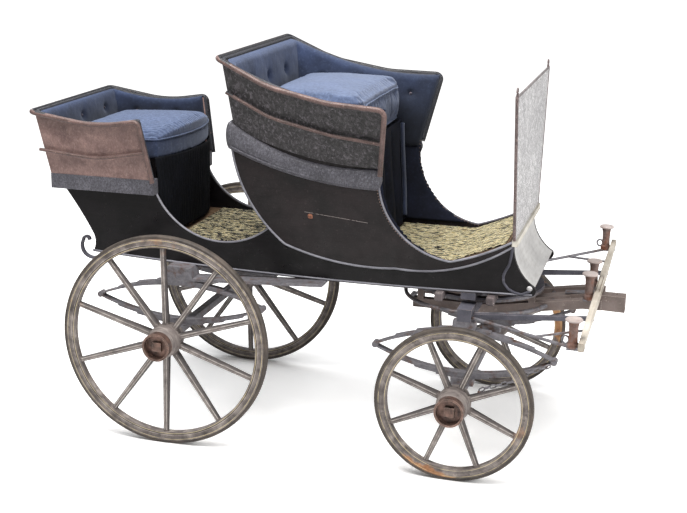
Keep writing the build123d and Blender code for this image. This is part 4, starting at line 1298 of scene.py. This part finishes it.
def lathe(name, places, profile, finish, slot=None, body="root"):
    """Turned pieces about upright axes; the profile is (radius, height) from the foot up."""
    vertices, faces = [], []
    for x, y in places:
        start = len(vertices)
        for radius, z in profile:
            for turn in turns(TURNED_SIDES):
                vertices.append(at(x + radius * math.cos(turn), y + radius * math.sin(turn), z))
        walls = grid_faces(len(profile), TURNED_SIDES, False, True)
        faces += [tuple(start + i for i in reversed(face)) for face in walls]
        faces.append(tuple(reversed(range(start, start + TURNED_SIDES))))
        last = start + (len(profile) - 1) * TURNED_SIDES
        faces.append(tuple(range(last, last + TURNED_SIDES)))
    piece = piece_from(name, vertices, faces, finish, slot, body, smooth_faces=False)
    repair_normals(piece)
    return piece


def slabs(name, outlines, y0, y1, finish, slot=None, body="root", bevel=0.003):
    """Side view outlines made thick from y0 to y1, and mirrored unless they cross the middle."""
    vertices, faces = [], []
    for outline in outlines:
        start, count = len(vertices), len(outline)
        vertices += [at(x, y, z) for y in (y0, y1) for x, z in outline]
        faces.append(tuple(start + i for i in range(count)))
        faces.append(tuple(start + count + i for i in reversed(range(count))))
        faces += [(start + i, start + count + i, start + count + (i + 1) % count, start + (i + 1) % count)
                  for i in range(count)]
    if y0 * y1 > 0:
        vertices, faces = add_mirror(vertices, faces)
    piece = piece_from(name, vertices, faces, finish, slot, body, smooth_faces=False)
    repair_normals(piece)
    if bevel:
        applied(piece, "BEVEL", width=bevel, segments=2, limit_method="ANGLE")


def rectangle(x0, z0, x1, z1):
    return [(x0, z0), (x1, z0), (x1, z1), (x0, z1)]


def strip(line, thickness):
    """The outline of an iron strip along a side view line."""
    left, right = [], []
    for i, (x, z) in enumerate(line):
        x0, z0 = line[max(i - 1, 0)]
        x1, z1 = line[min(i + 1, len(line) - 1)]
        length = math.hypot(x1 - x0, z1 - z0)
        nx, nz = -(z1 - z0) / length * thickness / 2, (x1 - x0) / length * thickness / 2
        left.append((x + nx, z + nz))
        right.append((x - nx, z - nz))
    return left + right[::-1]


# Front carriage: the slim splinter bar, its roller bolts, the stays and the cross bars under the body
SPLINTER_X, SPLINTER_HALF, SPLINTER_WIDTH, SPLINTER_DEPTH = 2.024, 0.920, 0.032, 0.046
SPLINTER_STEPS = 28
SPLINTER_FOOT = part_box("splinter_bar")[0].z
ROLLER_X = 1.984
ROLLER_ROWS = (-0.858, -0.120, 0.120, 0.858)
ROLLER_PROFILE = ((0.026, 0.0), (0.027, 0.006), (0.026, 0.018), (0.021, 0.026), (0.0195, 0.060),
                  (0.021, 0.096), (0.025, 0.118), (0.037, 0.122), (0.038, 0.127), (0.034, 0.131),
                  (0.010, 0.133))
CROSS_BARS_X = (1.303, 1.550)
CROSS_BARS_FOOT, CROSS_BARS_TOP = 0.789, 0.8325
CROSS_BAR_HALF, CROSS_BAR_WIDTH = 0.403, 0.040
STAY_Y, STAY_WIDTH = 0.400, 0.022
HOOP_RADIUS, HOOP_Z = 0.372, 0.7355


def make_front_gear():
    front = "front_carriage"
    sections, power = [], 0.35
    for i in range(SPLINTER_STEPS + 1):
        y = -SPLINTER_HALF + 2 * SPLINTER_HALF * i / SPLINTER_STEPS
        size = 1 - 0.18 * smooth((abs(y) - 0.14) / (SPLINTER_HALF - 0.14))
        half_x, half_z = SPLINTER_WIDTH / 2 * size, SPLINTER_DEPTH / 2 * size
        section = []
        for k in range(16):
            turn = 2 * math.pi * (k + 0.5) / 16
            c, s = math.cos(turn), math.sin(turn)
            section.append((SPLINTER_X + half_x * math.copysign(abs(c) ** power, c), y,
                            SPLINTER_FOOT + SPLINTER_DEPTH / 2 + half_z * math.copysign(abs(s) ** power, s)))
        sections.append(section)
    bar = piece_from("slim_splinter_bar", *skin(sections), "splinter_paint", "cream_paint", front,
                     smooth_faces=False)
    repair_normals(bar)
    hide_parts("splinter_bar")
    profile = [(r, SPLINTER_FOOT + z) for r, z in ROLLER_PROFILE]
    rollers = lathe("turned_roller_bolts", [(ROLLER_X, y) for y in ROLLER_ROWS], profile, "roller_iron",
                    "iron", front)
    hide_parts("roller_bolts")
    caps = [(0.0372, SPLINTER_FOOT + 0.1215), (0.0385, SPLINTER_FOOT + 0.127),
            (0.034, SPLINTER_FOOT + 0.1325), (0.010, SPLINTER_FOOT + 0.1345)]
    lathe("roller_cap_tops", [(ROLLER_X, y) for y in ROLLER_ROWS], caps, "worn_cap", "iron", front)
    for number, (shift, lift) in enumerate(((-0.0085, 0.0462), (0.0085, 0.0462), (0.0163, 0.030),
                                            (-0.0163, 0.030))):
        edge = [at(SPLINTER_X + shift, y, SPLINTER_FOOT + lift) for y in (-0.14, 0.14)]
        tube("splinter_line_" + str(number), edge, 0.0011, "fine_line", "cream_paint", front, step=0.1,
             sides=6)
    for y in ROLLER_ROWS[:2]:
        plate = rectangle(ROLLER_X - 0.026, SPLINTER_FOOT - 0.006, SPLINTER_X + 0.012, SPLINTER_FOOT + 0.001)
        slabs("roller_plate_" + ("outer" if y < -0.5 else "inner"), [plate], y - 0.024, y + 0.024, "iron",
              body=front, bevel=0.002)
    bed_x = WHEELBASE + 0.035
    bed_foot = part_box("lower_bed")[0].z
    stay = [(bed_x, bed_foot + 0.002), (SPLINTER_X - 0.020, SPLINTER_FOOT - 0.020),
            (SPLINTER_X + 0.012, SPLINTER_FOOT - 0.020), (SPLINTER_X + 0.012, SPLINTER_FOOT + 0.001),
            (SPLINTER_X - 0.024, SPLINTER_FOOT + 0.001), (bed_x, bed_foot + 0.032)]
    slabs("front_flat_stays", [stay], -STAY_Y - STAY_WIDTH / 2, -STAY_Y + STAY_WIDTH / 2, "gear_paint",
          "iron", front)
    rod = [at(bed_x - 0.006, -STAY_Y - 0.030, bed_foot + 0.020),
           at(SPLINTER_X - 0.004, -0.886, SPLINTER_FOOT + 0.002)]
    tube("front_round_stays", rod, 0.0075, "iron", body=front, step=0.05, both_sides=True)
    branch = [at(1.800, -0.7046, 0.764), at(2.010, -0.600, SPLINTER_FOOT - 0.002)]
    tube("front_stay_branches", branch, 0.006, "iron", body=front, step=0.05, both_sides=True)
    loop = [at(ROLLER_X - 0.032 + 0.015 * math.cos(t), -0.857, SPLINTER_FOOT + 0.034 + 0.018 * math.sin(t))
            for t in turns(24)]
    tube("roller_eyes", loop, 0.0045, "iron", body=front, closed=True, both_sides=True, up=(0, 1, 0))
    hoop = [at(WHEELBASE + HOOP_RADIUS * math.cos(t), HOOP_RADIUS * math.sin(t), HOOP_Z)
            for t in turns(60)]
    tube("fifth_wheel_hoop", hoop, 0.010, "iron", body=front, closed=True)
    strap = strip([(1.86, 0.7745), (1.94, 0.7815), (2.000, 0.7870)], 0.006)
    slabs("pole_strap", [strap], -0.024, 0.024, "iron", body=front, bevel=0.001)
    bars = [rectangle(x - CROSS_BAR_WIDTH / 2, CROSS_BARS_FOOT, x + CROSS_BAR_WIDTH / 2, CROSS_BARS_TOP)
            for x in CROSS_BARS_X]
    slabs("cross_bars", bars, -CROSS_BAR_HALF, CROSS_BAR_HALF, "worn_gear_paint", "body_paint", bevel=0.008)


DASH_X, DASH_HALF, DASH_TOP = 1.6505, 0.560, 1.800
TOE_LINE = ((1.640, 1.078), (1.634, 1.030), (1.626, 0.985), (1.611, 0.957), (1.601, 0.930),
            (1.604, 0.898), (1.626, 0.870), (1.656, 0.855), (1.690, 0.848), (1.730, 0.868))


def make_trim():
    """Dash binding with its corner loops, toe moulding with its boss, and the rear scrolls."""
    half = [at(DASH_X, -0.410, 1.118), at(DASH_X, -DASH_HALF, DASH_TOP + 0.006)]
    tube("dash_side_binding", half, 0.0075, "binding_leather", "dash_leather", step=0.02, both_sides=True)
    top = [at(DASH_X, -DASH_HALF, DASH_TOP), at(DASH_X, DASH_HALF, DASH_TOP)]
    tube("dash_top_binding", top, 0.006, "dash_binding_grey", "dash_leather", step=0.02)
    loop = [at(DASH_X, -0.548 + 0.011 * math.cos(t), 1.818 + 0.022 * math.sin(t))
            for t in turns(28)]
    tube("dash_corner_loops", loop, 0.0045, "binding_leather", "dash_leather", step=0.005, closed=True,
         both_sides=True)
    tube("toe_moulding", [at(x, -(BODY_SIDE + 0.001), z) for x, z in TOE_LINE], 0.0066, "moulding_paint",
         "body_paint", both_sides=True, up=(0, 1, 0))
    places = [(at(1.727, side * (BODY_SIDE - 0.001), 0.880), Vector((0, side, 0))) for side in (-1, 1)]
    domes("toe_bosses", places, 0.014, 0.010, "bright_boss", "hub_brass", sides=16)
    curl = arcs(((-0.455, 0.862), (-0.560, 0.868), (-0.556, 0.924), 20),
                ((-0.556, 0.924), (-0.538, 0.942), (-0.522, 0.924), 12))
    slabs("rear_scrolls", [strip(curl, 0.013)], -BODY_SIDE, -BODY_SIDE + 0.022, "gear_paint", "iron",
          bevel=0.002)


def make_fall_flaps():
    """The folded edges of the main seat's fall, faded blue, down both sides."""
    line = []
    for i in range(21):
        t = i / 20
        line.append(at(0.922 + 0.046 * t, -(0.412 - 0.078 * t) + 0.006 * math.sin(7 * t),
                       MAIN_SEAT_TOP - 0.01 - 0.475 * t))
    tube("main_fall_flaps", line, 0.026, "flap_cloth", "blue_cloth", both_sides=True, squash=0.4,
         up=(1, 0, 0))


def make_lining_nails():
    places = []
    for p in even_points([at(x, 0, z) for x, z in FRONT_EDGE], 0.019):
        for side in (-1, 1):
            places.append((Vector((p.x + 0.006, side * (flare(p.z) - SEAT_WALL - 0.0035), p.z)),
                           Vector((0, -side, 0))))
    domes("side_lining_nails", places, 0.0036, 0.0026, "nail_brass", "hub_brass", rings=3, sides=8)


# The chain on the right front spring
CHAIN_LINK_LENGTH, CHAIN_LINK_WIDTH, CHAIN_BAR = 0.036, 0.022, 0.0034
CHAIN_Y = -0.484
CHAIN_SPOTS = ((0.418, 0.555), (0.317, 0.506), (0.250, 0.458), (0.177, 0.430), (0.118, 0.410),
               (0.094, 0.394))


def make_chain():
    """Oval links, each turned a quarter from the last, along the chain's hanging line."""
    line = [at(WHEELBASE + x, CHAIN_Y, z) for x, z in CHAIN_SPOTS]
    spots = even_points(line, CHAIN_LINK_LENGTH - 2.4 * CHAIN_BAR)
    half = CHAIN_LINK_WIDTH / 2 - CHAIN_BAR
    straight = CHAIN_LINK_LENGTH / 2 - CHAIN_LINK_WIDTH / 2
    vertices, faces = [], []
    for i, (first, second) in enumerate(zip(spots, spots[1:])):
        along = (second - first).normalized()
        side = Vector((0, 1, 0)) if i % 2 else along.cross(Vector((0, 1, 0)))
        centre = (first + second) / 2
        loop = []
        for turn in turns(14):
            shift = straight if math.cos(turn) > 0 else -straight
            loop.append(centre + along * (shift + half * math.cos(turn)) + side * half * math.sin(turn))
        ring, ring_faces = tube_mesh(loop, CHAIN_BAR, 6, True, up=along.cross(side))
        faces += [tuple(len(vertices) + n for n in face) for face in ring_faces]
        vertices += ring
    piece_from("front_chain_links", vertices, faces, "iron", body="front_carriage")
    drop = [at(WHEELBASE + 0.093, CHAIN_Y, 0.392), at(WHEELBASE + 0.092, CHAIN_Y, 0.376)]
    tube("front_chain_pendant", drop, 0.0075, "hub_brass", body="front_carriage", step=0.004)


make_camera()
make_lights()
make_floor()
finish_nodes()
make_main_cushion()
make_rear_cushion()
make_squabs()
make_falls()
make_mats()
make_side_linings()
make_beads()
make_roll()
make_roll_welt()
make_front_gear()
make_trim()
make_fall_flaps()
make_lining_nails()
make_chain()
